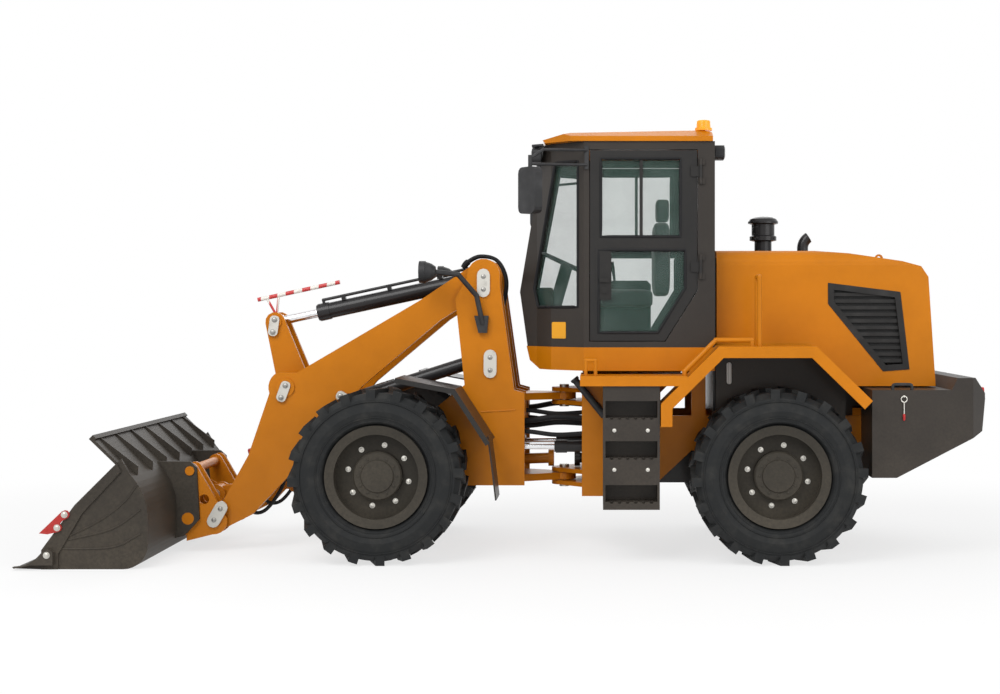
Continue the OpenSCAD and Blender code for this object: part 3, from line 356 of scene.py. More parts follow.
@dataclass(frozen=True)
class Pane(Coat):
    """Tinted window glass that lets the light straight through, with a little dust."""
    tint: Colour
    cover: float
    film_colour: Colour = (0.30, 0.40, 0.37)
    film_scale: float = 3.0
    film_span: Flat = (0.35, 0.8)

    def dress(self, s: Shade) -> None:
        """Wires the shader."""
        film = s.noise(self.film_scale, 6.0).step(*self.film_span)
        s.wire(Base_Color=s.blend(film * 0.4, self.tint, self.film_colour), Specular_IOR_Level=0.5,
               Roughness=film * 0.04 + 0.02, Alpha=film * 0.06 + self.cover,
               Coat_Weight=0.6, Coat_Roughness=0.02)
        s.material.surface_render_method = "BLENDED"


@dataclass(frozen=True)
class Weave(Coat):
    """Woven cloth or wire."""
    colour: Colour
    thread: float = 420.0
    fade_scale: float = 12.0

    def dress(self, s: Shade) -> None:
        """Wires the shader; the weave is a sine along X and two crossed sines along Y and Z."""
        waves = {a: (s.axis(a) * self.thread).math("SINE") for a in "YZX"}
        cloth = waves["Y"] * waves["Z"] * 0.5 + waves["X"] * 0.3 + 0.5
        fade = s.noise(self.fade_scale)
        pale = tuple(c * 1.9 for c in self.colour)
        s.wire(Base_Color=s.blend(cloth.step(0.1, 0.9) * fade, self.colour, pale),
               Roughness=0.85 + fade * 0.1, Sheen_Weight=0.25)
        s.bump(cloth, 0.4, 0.0015)


@dataclass(frozen=True)
class Stripes(Coat):
    """Two colours in bands along X, with chips that show what is under them."""
    first: Colour
    second: Colour
    pitch: float = 0.12
    chip_colour: Colour = (0.16, 0.12, 0.1)
    chip_scale: float = 60.0
    chip_span: Flat = (0.66, 0.72)

    def dress(self, s: Shade) -> None:
        """Wires the shader; a sine of X past zero picks the second colour."""
        bands = (s.axis("X") * (2 * math.pi / self.pitch)).math("SINE").step(-0.05, 0.05)
        chips = s.noise(self.chip_scale, 6.0).step(*self.chip_span) * 0.6
        tone = s.blend(chips, s.blend(bands, self.first, self.second), self.chip_colour)
        s.wire(Base_Color=tone, Roughness=chips * 0.3 + 0.36)
        s.bump(chips, 0.15, 0.0005)


class Finish(Enum):
    """Every finish on the machine; one that a slot has by default bears the slot's name."""
    YELLOW = Paint("machine_yellow", (0.535, 0.170, 0.001), 0.36, coat=0.08, dust=0.04, gloss=0.16)
    DARK = Paint("warm_dark_grey", (0.028, 0.0235, 0.0205), 0.46, dust=0.09)
    RIM = Paint("rim_grey", (0.024, 0.022, 0.018), 0.5, coat=0.0, dust=0.12)
    BLACK = Paint("cylinder_black", (0.016, 0.0155, 0.017), 0.3, coat=0.2, dust=0.05)
    DOOR = Paint("door_black", (0.0165, 0.016, 0.016), 0.4, dust=0.06)
    WORN = Paint("bucket_grey", (0.024, 0.021, 0.018), 0.5, coat=0.0, dust=0.12, grain=0.5)
    EDGE = Paint("edge_and_guards", (0.034, 0.030, 0.026), 0.46, coat=0.0, dust=0.1, upper=0.2)
    TYRE = Rubber("tyre_rubber")
    HOSE = Rubber("hose_rubber", (0.014, 0.014, 0.015), wear=0.25)
    SEAL = Rubber("window_seal", (0.01, 0.01, 0.011), wear=0.12)
    PLASTIC = Moulded("black_plastic", (0.017, 0.017, 0.018))
    GRILLE = Moulded("grille_black", (0.011, 0.0105, 0.01), 0.62)
    CHROME = Metal("rod_chrome", (0.83, 0.83, 0.84), 0.06)
    STEEL = Metal("zinc_steel", (0.62, 0.60, 0.55), 0.3)
    BOLT = Metal("bolt_steel", (0.34, 0.33, 0.31), 0.32)
    BRASS = Metal("plated_fitting", (0.66, 0.55, 0.36), 0.28)
    GLASS = Pane("cab_glass", (0.07, 0.15, 0.118), 0.15)
    MIRROR = Metal("mirror_face", (0.8, 0.82, 0.83), 0.03, (1.0, 1.0, 1.0))
    LAMP = Moulded("lamp_lens", (0.75, 0.76, 0.75), 0.16, grain=0.3, clear=0.25)
    AMBER = Moulded("amber_lens", (0.86, 0.27, 0.012), 0.2, grain=0.2, glow=0.25)
    TAIL = Moulded("red_lens", (0.42, 0.012, 0.01), 0.2, grain=0.2, glow=0.08)
    RED = Paint("guard_red", (0.44, 0.016, 0.018), 0.34, coat=0.35, dust=0.08)
    POINTER = Stripes("pointer_bands", (0.5, 0.03, 0.03), (0.72, 0.69, 0.64))
    ORANGE = Paint("plain_label", (0.80, 0.36, 0.02), 0.4, dust=0.05)
    GAUGE = Stripes("sight_gauge_marks", (0.55, 0.55, 0.53), (0.42, 0.42, 0.40), 0.02)
    CLOTH = Weave("seat_weave", (0.028, 0.028, 0.03))
    SCREEN = Weave("grille_screen", (0.012, 0.012, 0.012), 520.0)


@cache
def coat(finish: Finish) -> bpy.types.Material:
    """The material of a finish, made once."""
    return finish.value.make()


def grid(points: np.ndarray, close_u: bool = False, close_v: bool = False,
         caps: bool = False) -> Surface:
    """A surface over a grid of points: each cell of four neighbours is one face.

    Args:
        points: an array of rows u, columns v and X, Y, Z.
        close_u: whether the last row joins the first.
        close_v: whether the last column joins the first.
        caps: whether the first and last rows are filled.
    Returns:
        Vertices and faces.
    """
    nu, nv = points.shape[:2]
    index = np.arange(nu * nv).reshape(nu, nv)
    rows = np.vstack([index, index[:1]]) if close_u else index
    both = np.hstack([rows, rows[:, :1]]) if close_v else rows
    cells = [both[:-1, :-1], both[:-1, 1:], both[1:, 1:], both[1:, :-1]]
    faces = [tuple(q) for q in np.stack(cells, -1).reshape(-1, 4).tolist()]
    if caps:
        faces += [tuple(index[0, ::-1].tolist()), tuple(index[-1].tolist())]
    return points.reshape(-1, 3), faces


def join(parts: list[Surface]) -> Surface:
    """Puts several surfaces into one list of vertices and faces.

    Args:
        parts: the surfaces, each with vertices and faces of its own.
    Returns:
        All the vertices, and the faces numbered to match.
    """
    starts = np.cumsum([0] + [len(v) for v, _ in parts])
    faces = [tuple(i + int(s) for i in f) for (_, fs), s in zip(parts, starts) for f in fs]
    return np.vstack([v for v, _ in parts]), faces


def across(axis: np.ndarray) -> tuple[np.ndarray, np.ndarray]:
    """Two unit vectors square to each axis, found by crossing it with Y, or with Z where it is near Y.

    Args:
        axis: one direction, or rows of them.
    Returns:
        The first and second vectors; the axis crossed with the first is the second.
    """
    axis = axis / np.linalg.norm(axis, axis=-1, keepdims=True)
    near_y = np.abs(axis[..., 1:2]) > 0.8
    helper = np.where(near_y, UP, np.array([0.0, 1.0, 0.0]))
    first = np.cross(helper, axis)
    first = first / np.linalg.norm(first, axis=-1, keepdims=True)
    return first, np.cross(axis, first)


def circle(count: int, start: float = 0.0) -> np.ndarray:
    """Points of a unit circle in the X and Z plane: X is cos t and Z is sin t."""
    turn = start + np.arange(count) * 2 * np.pi / count
    return np.stack([np.cos(turn), np.zeros(count), np.sin(turn)], 1)


def revolve(profile: tuple | np.ndarray, foot: np.ndarray, axis: tuple, sides: int = 16) -> Surface:
    """Turns a profile round an axis: point = foot + h axis + r (cos t first + sin t second).

    Args:
        profile: radius and height pairs in metres, from the foot upwards.
        foot: where the axis starts.
        axis: the axis's direction.
        sides: how many columns go round.
    Returns:
        Vertices and faces, closed at both ends.
    """
    way = np.asarray(axis, float) / np.linalg.norm(axis)
    first, second = across(way)
    turn = np.linspace(0, 2 * np.pi, sides, endpoint=False)
    ring = np.cos(turn)[:, None] * first + np.sin(turn)[:, None] * second
    r, h = np.array(profile, float).T
    return grid(foot + h[:, None, None] * way + r[:, None, None] * ring, close_v=True, caps=True)


def smooth(points: np.ndarray, steps: int = 8) -> np.ndarray:
    """A Catmull-Rom curve through the points: cubic pieces whose slopes come from the neighbours.

    Args:
        points: the points that the curve goes through.
        steps: how many points each cubic piece gets.
    Returns:
        The curve's points, with the last of the given ones.
    """
    p = np.vstack([2 * points[0] - points[1], points, 2 * points[-1] - points[-2]])
    t = np.linspace(0, 1, steps, endpoint=False)[:, None, None]
    a, b, c, d = p[:-3], p[1:-2], p[2:-1], p[3:]
    square = (2 * a - 5 * b + 4 * c - d) * t ** 2
    cube = (3 * b - a - 3 * c + d) * t ** 3
    curve = 0.5 * (2 * b + (c - a) * t + square + cube)
    return np.vstack([curve.transpose(1, 0, 2).reshape(-1, 3), points[-1:]])


def tube(path: np.ndarray, radius: float | np.ndarray, sides: int = 12, closed: bool = False) -> Surface:
    """Carries a circle along a path, square to the path at each point.

    Args:
        path: the path's points in metres.
        radius: one radius, or one for each point.
        sides: how many columns go round.
        closed: whether the path is a loop.
    Returns:
        Vertices and faces.
    """
    way = np.roll(path, -1, 0) - np.roll(path, 1, 0) if closed else np.gradient(path, axis=0)
    first, second = across(way)
    turn = np.linspace(0, 2 * np.pi, sides, endpoint=False)[None, :, None]
    r = np.broadcast_to(np.asarray(radius, float), (len(path),))[:, None, None]
    ring = r * (np.cos(turn) * first[:, None] + np.sin(turn) * second[:, None])
    return grid(path[:, None] + ring, close_u=closed, close_v=True, caps=not closed)


def slab(outline: np.ndarray, depth: list | np.ndarray, edge: float) -> Surface:
    """A plate with softened edges: four rings of its outline along depth, the end rings drawn in.

    An outline that runs the wrong way round for its depth is turned, so that the faces point outwards.

    Args:
        outline: the outline's points in metres, convex.
        depth: the vector from the back face to the front face.
        edge: how far the end rings are drawn in.
    Returns:
        Vertices and faces.
    """
    depth = np.asarray(depth, float)
    arms = outline - outline.mean(0)
    if np.cross(arms, np.roll(arms, -1, 0)).sum(0) @ depth < 0:
        outline, arms = outline[::-1], arms[::-1]
    drawn = outline - edge * arms / np.linalg.norm(arms, axis=1, keepdims=True)
    share = edge / np.linalg.norm(depth)
    rings = [drawn, outline + depth * share, outline + depth * (1 - share), drawn + depth]
    return grid(np.array(rings), close_v=True, caps=True)


def rounded(width: float, height: float, radius: float, steps: int = 5) -> np.ndarray:
    """Outline of a rectangle with round corners: a quarter circle is turned and moved to each corner.

    Args:
        width: the first coordinate's extent.
        height: the second coordinate's extent.
        radius: the corners' radius.
        steps: how many points a corner has.
    Returns:
        Rows of two coordinates about the middle.
    """
    turn = np.linspace(0, np.pi / 2, steps)
    corner = radius * np.stack([np.cos(turn), np.sin(turn)], 1)
    w, h = width / 2 - radius, height / 2 - radius
    spots = np.array([[w, h], [-w, h], [-w, -h], [w, -h]])
    quarters = np.arange(4) * np.pi / 2
    turns = [np.array([[math.cos(q), math.sin(q)], [-math.sin(q), math.cos(q)]]) for q in quarters]
    return np.vstack([corner @ m + s for m, s in zip(turns, spots)])


def laid(flat: np.ndarray, spot: list | np.ndarray, along: list | np.ndarray,
         up: np.ndarray = UP) -> np.ndarray:
    """Lays a flat outline in space and hands it back in metres: point = spot + u along + v up."""
    return at(np.asarray(spot, float) + flat[:, :1] * np.asarray(along, float) + flat[:, 1:] * up)


def block(low: Point, high: Point, edge: float) -> Surface:
    """A box with softened edges: its floor is carried up to its top.

    Args:
        low: its lowest corner in millimetres.
        high: its highest corner in millimetres.
        edge: how far its edges are drawn in, in metres.
    Returns:
        Vertices and faces.
    """
    (x0, y0, z0), (x1, y1, z1) = low, high
    floor = at([[x0, y0, z0], [x1, y0, z0], [x1, y1, z0], [x0, y1, z0]])
    return slab(floor, [0, 0, (z1 - z0) * MM], edge)


# A bolt's head on its washer: radius and height pairs as shares of the head's radius.
BOLT_PROFILE = np.array([(1.5, 0.0), (1.5, 0.25), (1.0, 0.3), (1.0, 0.95), (0.75, 1.1), (0.02, 1.1)])


def bolt(foot: np.ndarray, axis: tuple, radius: float) -> Surface:
    """A bolt's head on its washer, a short stepped turning."""
    return revolve(radius * BOLT_PROFILE, foot, axis, 12)


def piece(name: str, surface: Surface, body: str, slot: Slot, finish: Finish | None = None,
          soft: bool = True) -> bpy.types.Object:
    """Makes a mesh piece that rides on a body.

    Args:
        name: the piece's name.
        surface: its vertices and faces.
        body: the body that carries it, or nothing for a piece left on no body.
        slot: the record's slot whose finish it takes when it has no finish of its own.
        finish: its finish, where it isn't the slot's own.
        soft: whether its faces are shaded smooth.
    Returns:
        The new object.
    """
    mesh = bpy.data.meshes.new(name)
    mesh.from_pydata(surface[0].tolist(), [], surface[1])
    mesh.validate()
    mesh.polygons.foreach_set("use_smooth", np.full(len(mesh.polygons), soft))
    if soft:
        mesh.set_sharp_from_angle(angle=math.radians(SHARP_ANGLE))
    obj = bpy.data.objects.new(name, mesh)
    bpy.context.scene.collection.objects.link(obj)
    mesh.materials.append(coat(finish or Finish[slot.name]))
    if body:
        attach(obj, body)
    LOG.info("%s: %d faces on %s", name, len(mesh.polygons), body or "two bodies")
    return obj


@dataclass(frozen=True)
class Lamp:
    """A square soft lamp: its place and size in metres, and its power in watts."""
    name: str
    place: Point
    power: float
    size: float


@dataclass
class Studio:
    """Pale floor, soft light and the camera; only the camera's place is in millimetres."""
    eye: Point = (-260.0, 11000.0, 1700.0)
    lens: float = 54.36
    film: float = 36.0
    shift: Flat = (-0.1, -0.037)
    sight: float = 200.0
    floor_half: float = 40.0
    floor_colour: Colour = (0.86, 0.86, 0.86)
    fade: Flat = (0.24, 0.42)
    fade_span: Flat = (1.0, 2.2)
    near_white: float = 0.7
    sky: float = 0.62
    aim: Point = (0.0, 0.0, 1.2)
    lamps: tuple[Lamp, ...] = (Lamp("key", (3.5, 7.5, 8.0), 620.0, 6.0),
                               Lamp("fill", (-6.5, 6.0, 5.0), 260.0, 6.0),
                               Lamp("back", (0.0, -8.0, 6.0), 240.0, 7.0))

    def build(self) -> None:
        """Makes the camera, the floor, the world and the lamps."""
        scene = bpy.context.scene
        scene.view_settings.view_transform = "Standard"
        camera = bpy.data.objects.new("camera", bpy.data.cameras.new("camera"))
        camera.data.lens, camera.data.sensor_width = self.lens, self.film
        camera.data.shift_x, camera.data.shift_y = self.shift
        camera.data.clip_end = self.sight
        camera.location = at(self.eye)
        camera.rotation_euler = (math.pi / 2, 0.0, math.pi)
        scene.collection.objects.link(camera)
        scene.camera = camera
        self.floor()
        self.world()
        for lamp in self.lamps:
            self.light(lamp)

    def floor(self) -> None:
        """A wide sheet that takes the shadow and fades to white round an ellipse about the machine."""
        h = self.floor_half
        mesh = bpy.data.meshes.new("floor")
        mesh.from_pydata([(-h, -h, 0), (h, -h, 0), (h, h, 0), (-h, h, 0)], [], [(0, 1, 2, 3)])
        obj = bpy.data.objects.new("floor", mesh)
        bpy.context.scene.collection.objects.link(obj)
        s = Shade("studio_floor")
        s.wire(Base_Color=self.floor_colour, Roughness=0.9, Specular_IOR_Level=0.1)
        glow = s.node("Emission", {}, {"Color": WHITE, "Strength": 1.0})
        far = [(s.axis(a) * scale).math("POWER", 2.0) for a, scale in zip("XY", self.fade)]
        white = (far[0] + far[1]).math("SQRT").step(*self.fade_span)
        share = s.looked_at() * (white * (1.0 - self.near_white) + self.near_white)
        lit = Signal(s, s.shader.outputs[0])
        s.feed(s.out.inputs["Surface"], s.node("MixShader", {}, {0: share, 1: lit, 2: glow}))
        mesh.materials.append(s.material)

    def world(self) -> None:
        """White to the camera, through glass and in reflections, and softer as a light."""
        world = bpy.data.worlds.new("studio")
        bpy.context.scene.world = world
        world.use_nodes = True
        s = Tree(world.node_tree)
        back = s.tree.nodes["Background"]
        s.feed(back.inputs["Color"], WHITE)
        s.feed(back.inputs["Strength"], s.looked_at() * (1.0 - self.sky) + self.sky)

    def light(self, lamp: Lamp) -> None:
        """Hangs the given lamp and turns it to face the machine's middle."""
        data = bpy.data.lights.new(lamp.name, "AREA")
        data.energy, data.size = lamp.power, lamp.size
        obj = bpy.data.objects.new(lamp.name, data)
        obj.location = lamp.place
        x, y, z = np.array(self.aim) - np.array(lamp.place)
        pitch = math.pi / 2 + math.atan2(z, math.hypot(x, y))
        obj.rotation_euler = (pitch, 0.0, math.atan2(-x, y))
        bpy.context.scene.collection.objects.link(obj)


@dataclass
class Coats:
    """Gives every carried-over node its finish: its slot's, or its own where it has one."""
    own: dict[str, Finish] = field(default_factory=lambda: {
        "level_indicator": Finish.POINTER, "bucket": Finish.WORN, "bucket_edge": Finish.EDGE,
        "hood_grilles": Finish.GRILLE, "door_left": Finish.DOOR, "door_right": Finish.DOOR,
        "front_fenders": Finish.DOOR})

    def build(self) -> None:
        """Replaces each node's material by its finish."""
        slots = {p["node"]: p["material_slot"] for p in frame["record"]["subparts"]}
        for name, obj in frame["nodes"].items():
            finish = self.own.get(name, Finish[Slot(slots[name]).name])
            obj.data.materials.clear()
            obj.data.materials.append(coat(finish))
        LOG.info("%d nodes dressed", len(slots))


@dataclass(frozen=True)
class BoltCircle:
    """Bolt heads spaced evenly on a circle.

    face is how far the heads stand out from the wheel's middle, and start is the first one's angle.
    """
    circle: float
    face: float
    count: int
    radius: float
    start: float = 0.0


@dataclass
class Wheels:
    """Wheel nuts, hub bolts and sidewall ridges in metres; a ridge is its radius and its way out."""
    track_half: float = 0.795
    nuts: BoltCircle = BoltCircle(0.207, 0.046, 8, 0.0125, 0.2)
    caps: BoltCircle = BoltCircle(0.128, 0.106, 12, 0.007)
    ridges: Outline = ((0.372, 0.186), (0.398, 0.196), (0.506, 0.2015))
    ridge_r: float = 0.0045
    ridge_steps: int = 72

    def build(self) -> None:
        """Dresses all four wheels."""
        for end in ("front", "rear"):
            for side, s in SIDES:
                self.wheel(f"{end}_{side}", s)

    def wheel(self, place: str, s: int) -> None:
        """One wheel: fasteners on circles round its axis, and thin rings on its sidewall.

        Args:
            place: the wheel's end and side.
            s: 1 on the left and -1 on the right.
        """
        low, high = (np.array(c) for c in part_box("rim_" + place))
        centre = (low + high) / 2
        centre[1] = s * self.track_half
        out = np.array([0.0, s, 0.0])
        body = "wheel_" + place
        piece(f"wheel_nuts_{place}", self.heads(centre, out, self.nuts), body, Slot.STEEL)
        piece(f"hub_bolts_{place}", self.heads(centre, out, self.caps), body, Slot.RIM)
        ring = circle(self.ridge_steps)
        rings = [tube(centre + r * ring + out * y, self.ridge_r, 6, True) for r, y in self.ridges]
        piece(f"tyre_ridges_{place}", join(rings), body, Slot.TYRE)

    def heads(self, centre: np.ndarray, out: np.ndarray, row: BoltCircle) -> Surface:
        """The bolt heads of one circle, which is square to out."""
        spots = centre + out * row.face + row.circle * circle(row.count, row.start)
        return join([bolt(spot, tuple(out), row.radius) for spot in spots])


@dataclass
class Hoses:
    """Hydraulic hoses with crimped ends, bent between the bodies that they join; places in millimetres.

    A steering row is a hose's Y, Z and rise, and a step of its path is X, a shift in Y and a share of
    the rise. A step of the tilt path is X, a share of the hose's Y, and Z.
    """
    crimp: float = 1.45
    crimp_length: float = 0.06
    steps: int = 10
    thick: float = 0.02
    thin: float = 0.016
    steering_rows: Path = ((-330, 965, 40), (-190, 915, -35), (-60, 850, 30),
                           (110, 985, -30), (230, 905, 35), (335, 850, -28))
    steering_path: Path = ((454, 0, 0.0), (390, 0, 0.0), (230, 10, 0.3), (60, 24, 1.0),
                           (-110, 14, 0.8), (-290, 0, 0.2), (-440, 0, 0.0), (-504, 0, 0.0))
    steering_bend: Flat = (-150, 250)
    tilt_r: float = 0.014
    tilt_y: Flat = (-34, 34)
    tilt_path: Path = ((638, 1, 1440), (600, 1, 1450), (520, 1, 1560), (440, 1, 1760), (425, 1, 1930),
                       (490, 1, 2060), (610, 1, 2090), (700, 1, 2050), (735, 0.7, 2008))
    tilt_bend: tuple[Flat, Flat] = ((430, 1800), (640, 2080))
    boom_r: float = 0.013
    boom_path: Path = ((1880, 296, 700), (1930, 288, 610), (2010, 280, 420), (2110, 274, 285),
                       (2200, 268, 262), (2262, 258, 330), (2262, 240, 450), (2236, 220, 528))

    def build(self) -> None:
        """Hoses across the steering hinge and over the boom shaft, and the loops under the boom."""
        for i, (y, z, rise) in enumerate(self.steering_rows):
            path = [[x, y + shift, z + share * rise] for x, shift, share in self.steering_path]
            hose = self.hose(f"steering_hose_{i}", path, self.thin if i % 2 else self.thick, "")
            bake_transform(hose)
        for i, y in enumerate(self.tilt_y):
            path = [[x, y * share, z] for x, share, z in self.tilt_path]
            hose = self.hose(f"tilt_hose_{i}", path, self.tilt_r, "")
            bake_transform(hose)
        for side, s in SIDES:
            path = [[x, y * s, z] for x, y, z in self.boom_path]
            self.hose(f"boom_hose_{side}", path, self.boom_r, "boom")

    def hose(self, name: str, path: list, radius: float, body: str) -> bpy.types.Object:
        """One hose: a circle along a smooth curve, wider in short crimped stretches at its ends.

        Args:
            name: the hose's name.
            path: the places that it goes through, in millimetres.
            radius: its radius in metres.
            body: the body that carries it, or nothing for a hose left on no body.
        Returns:
            The new object.
        """
        line = smooth(at(path), self.steps)
        along = np.concatenate([[0], np.cumsum(np.linalg.norm(np.diff(line, axis=0), axis=1))])
        ends = np.minimum(along, along[-1] - along) < self.crimp_length
        surface = tube(line, np.where(ends, radius * self.crimp, radius))
        return piece(name, surface, body, Slot.PLASTIC, Finish.HOSE)


@dataclass
class Cab:
    """Window seals, seat, console, lenses, mirror faces and a blank plate; places in millimetres.

    Windows are outlines of X and Z, and wall_y is the cab wall's Y at each wall_x. A plate's size is its
    width, its height and its corners' radius.
    """
    seal_r: float = 0.011
    seal_sunk: float = 4.0
    seal_steps: int = 10
    upper: Outline = ((-265, 2200), (-265, 2735), (-810, 2735), (-810, 2200))
    lower: Outline = ((-250, 1545), (-250, 2110), (-842, 2110), (-842, 1850), (-655, 1545))
    quarter: Outline = ((205, 1850), (50, 2720), (-110, 2720), (-110, 1720), (175, 1720))
    wall_x: tuple[float, ...] = (-150.0, 80.0, 185.0, 320.0)
    wall_y: tuple[float, ...] = (700.0, 500.0, 340.0, 200.0)
    seat_foot: Box = ((-600, -170, 1447), (-290, 170, 1717))
    pads: tuple[tuple[str, Point, Point], ...] = (
        ("cushion", (-640, -240, 1715), (-240, 240, 1850)),
        ("back", (-765, -235, 1800), (-640, 235, 2330)),
        ("head", (-760, -130, 2340), (-665, 130, 2500)))
    pad_power: float = 0.38
    pad_grid: tuple[int, int] = (28, 56)
    dash: Path = ((60, -230, 1500), (225, -170, 1500), (225, 170, 1500), (60, 230, 1500))
    dash_rise: Point = (0.02, 0, 0.36)
    arm_rest: Box = ((-640, -420, 1500), (-260, -290, 1920))
    lever_x: Flat = (-300, -370)
    lever_y: float = -355
    lever_path: Outline = ((0, 1915), (10, 1990), (25, 2060))
    lever_r: Flat = (0.008, 0.018)
    lens_size: Point = (128, 74, 20.72)
    lens_edge: float = 0.004
    roof_lamps: tuple[tuple[Point, float], ...] = (((213, 430, 2776), 0.008),
                                                   ((-1117, 520, 2790), -0.008))
    tower_lamp: Point = (973, 600, 1962)
    bowl: Outline = ((0.062, 0.0), (0.062, 0.004), (0.03, 0.012), (0.001, 0.014))
    mirror: Point = (206, 925, 2499)
    mirror_turn: float = 38
    mirror_back: float = 31.5
    mirror_size: Point = (160, 280, 34)
    mirror_t: float = 0.004
    label_x: float = 24.0
    label_z: float = 1560.0
    label_size: Point = (130, 114, 8)
    label_t: float = 0.003

    def build(self) -> None:
        """Makes every fitting."""
        for side, s in SIDES:
            rims = [self.seal(w, s) for w in (self.upper, self.lower)]
            piece(f"door_seals_{side}", join(rims), f"door_{side}", Slot.PLASTIC, Finish.SEAL)
            piece(f"quarter_seal_{side}", self.seal(self.quarter, s), "rear", Slot.PLASTIC, Finish.SEAL)
            self.mirror_face(side, s)
        self.seat()
        self.console()
        self.lenses()
        self.label()

    def seal(self, outline: Outline, s: int) -> Surface:
        """A rubber bead along a window's edge; each side is cut in steps and laid on the cab's wall.

        Args:
            outline: the window's corners.
            s: 1 on the left and -1 on the right.
        Returns:
            Vertices and faces.
        """
        p = np.array(outline, float)
        share = np.linspace(0, 1, self.seal_steps, endpoint=False)[None, :, None]
        x, z = (p[:, None] * (1 - share) + np.roll(p, -1, 0)[:, None] * share).reshape(-1, 2).T
        wall = np.interp(x, self.wall_x, self.wall_y) - self.seal_sunk
        return tube(at(np.stack([x, s * wall, z], 1)), self.seal_r, 8, True)

    def pad(self, low: Point, high: Point) -> Surface:
        """A crowned cushion: a sphere whose sines and cosines are raised to a power and so fill a box.

        Args:
            low: the box's lowest corner.
            high: the box's highest corner.
        Returns:
            Vertices and faces.
        """
        a, b = at(low), at(high)
        rows, columns = self.pad_grid
        u = np.linspace(-np.pi / 2, np.pi / 2, rows)[:, None]
        v = np.linspace(0, 2 * np.pi, columns, endpoint=False)[None, :]

        def full(x: np.ndarray) -> np.ndarray:
            """Raises to the power and keeps the sign."""
            return np.sign(x) * np.abs(x) ** self.pad_power

        ball = np.stack([full(np.cos(u)) * full(np.cos(v)), full(np.cos(u)) * full(np.sin(v)),
                         full(np.sin(u)) * np.ones_like(v)], -1)
        return grid((a + b) / 2 + ball * (b - a) / 2, close_v=True, caps=True)

    def seat(self) -> None:
        """A sprung base, a cushion, a back and a head rest in the seat solid's place."""
        stand = piece("seat_base", block(*self.seat_foot, 0.02), "rear", Slot.PLASTIC)
        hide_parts("seat")
        for name, low, high in self.pads:
            pad = piece("seat_" + name, self.pad(low, high), "rear", Slot.CLOTH)

    def console(self) -> None:
        """Dashboard under the windscreen and an arm rest with its levers."""
        parts = [slab(at(self.dash), self.dash_rise, 0.03), block(*self.arm_rest, 0.03)]
        for x in self.lever_x:
            line = smooth(at([[x + shift, self.lever_y, z] for shift, z in self.lever_path]))
            parts.append(tube(line, np.linspace(*self.lever_r, len(line))))
        piece("cab_console", join(parts), "rear", Slot.PLASTIC)

    def lenses(self) -> None:
        """Clear lenses on the roof lamps and on the lamps beside the tower."""
        flat = rounded(*self.lens_size)
        glass = [slab(laid(flat, [x, y * s, z], [0, 1, 0]), [depth, 0, 0], self.lens_edge)
                 for s in SIGNS for (x, y, z), depth in self.roof_lamps]
        piece("roof_lamp_lenses", join(glass), "rear", Slot.GLASS, Finish.LAMP)
        x, y, z = self.tower_lamp
        bowls = [revolve(self.bowl, at([x, y * s, z]), (1, 0, 0), 28) for s in SIGNS]
        piece("tower_lamp_lenses", join(bowls), "front", Slot.GLASS, Finish.LAMP)

    def mirror_face(self, side: str, s: int) -> None:
        """The mirror's glass, on the housing's rear face, which is turned about Z.

        Args:
            side: the mirror's side.
            s: 1 on the left and -1 on the right.
        """
        turn = math.radians(self.mirror_turn * s)
        front = np.array([math.cos(turn), math.sin(turn), 0.0])
        along = np.array([-math.sin(turn), math.cos(turn), 0.0])
        x, y, z = self.mirror
        spot = np.array([x, y * s, z]) - self.mirror_back * front
        face = slab(laid(rounded(*self.mirror_size), spot, along), -self.mirror_t * front, 0.001)
        piece(f"mirror_face_{side}", face, "rear", Slot.CHROME, Finish.MIRROR)

    def label(self) -> None:
        """A blank orange plate below the left quarter window, on the wall's first slope."""
        wall = np.array([self.wall_x[0] - self.wall_x[1], self.wall_y[0] - self.wall_y[1], 0.0])
        wall = wall / np.linalg.norm(wall)
        out = np.array([wall[1], -wall[0], 0.0])
        spot = [self.label_x, np.interp(self.label_x, self.wall_x, self.wall_y), self.label_z]
        face = slab(laid(rounded(*self.label_size), spot, wall), self.label_t * out, 0.0005)
        piece("blank_label", face, "rear", Slot.AMBER, Finish.ORANGE)


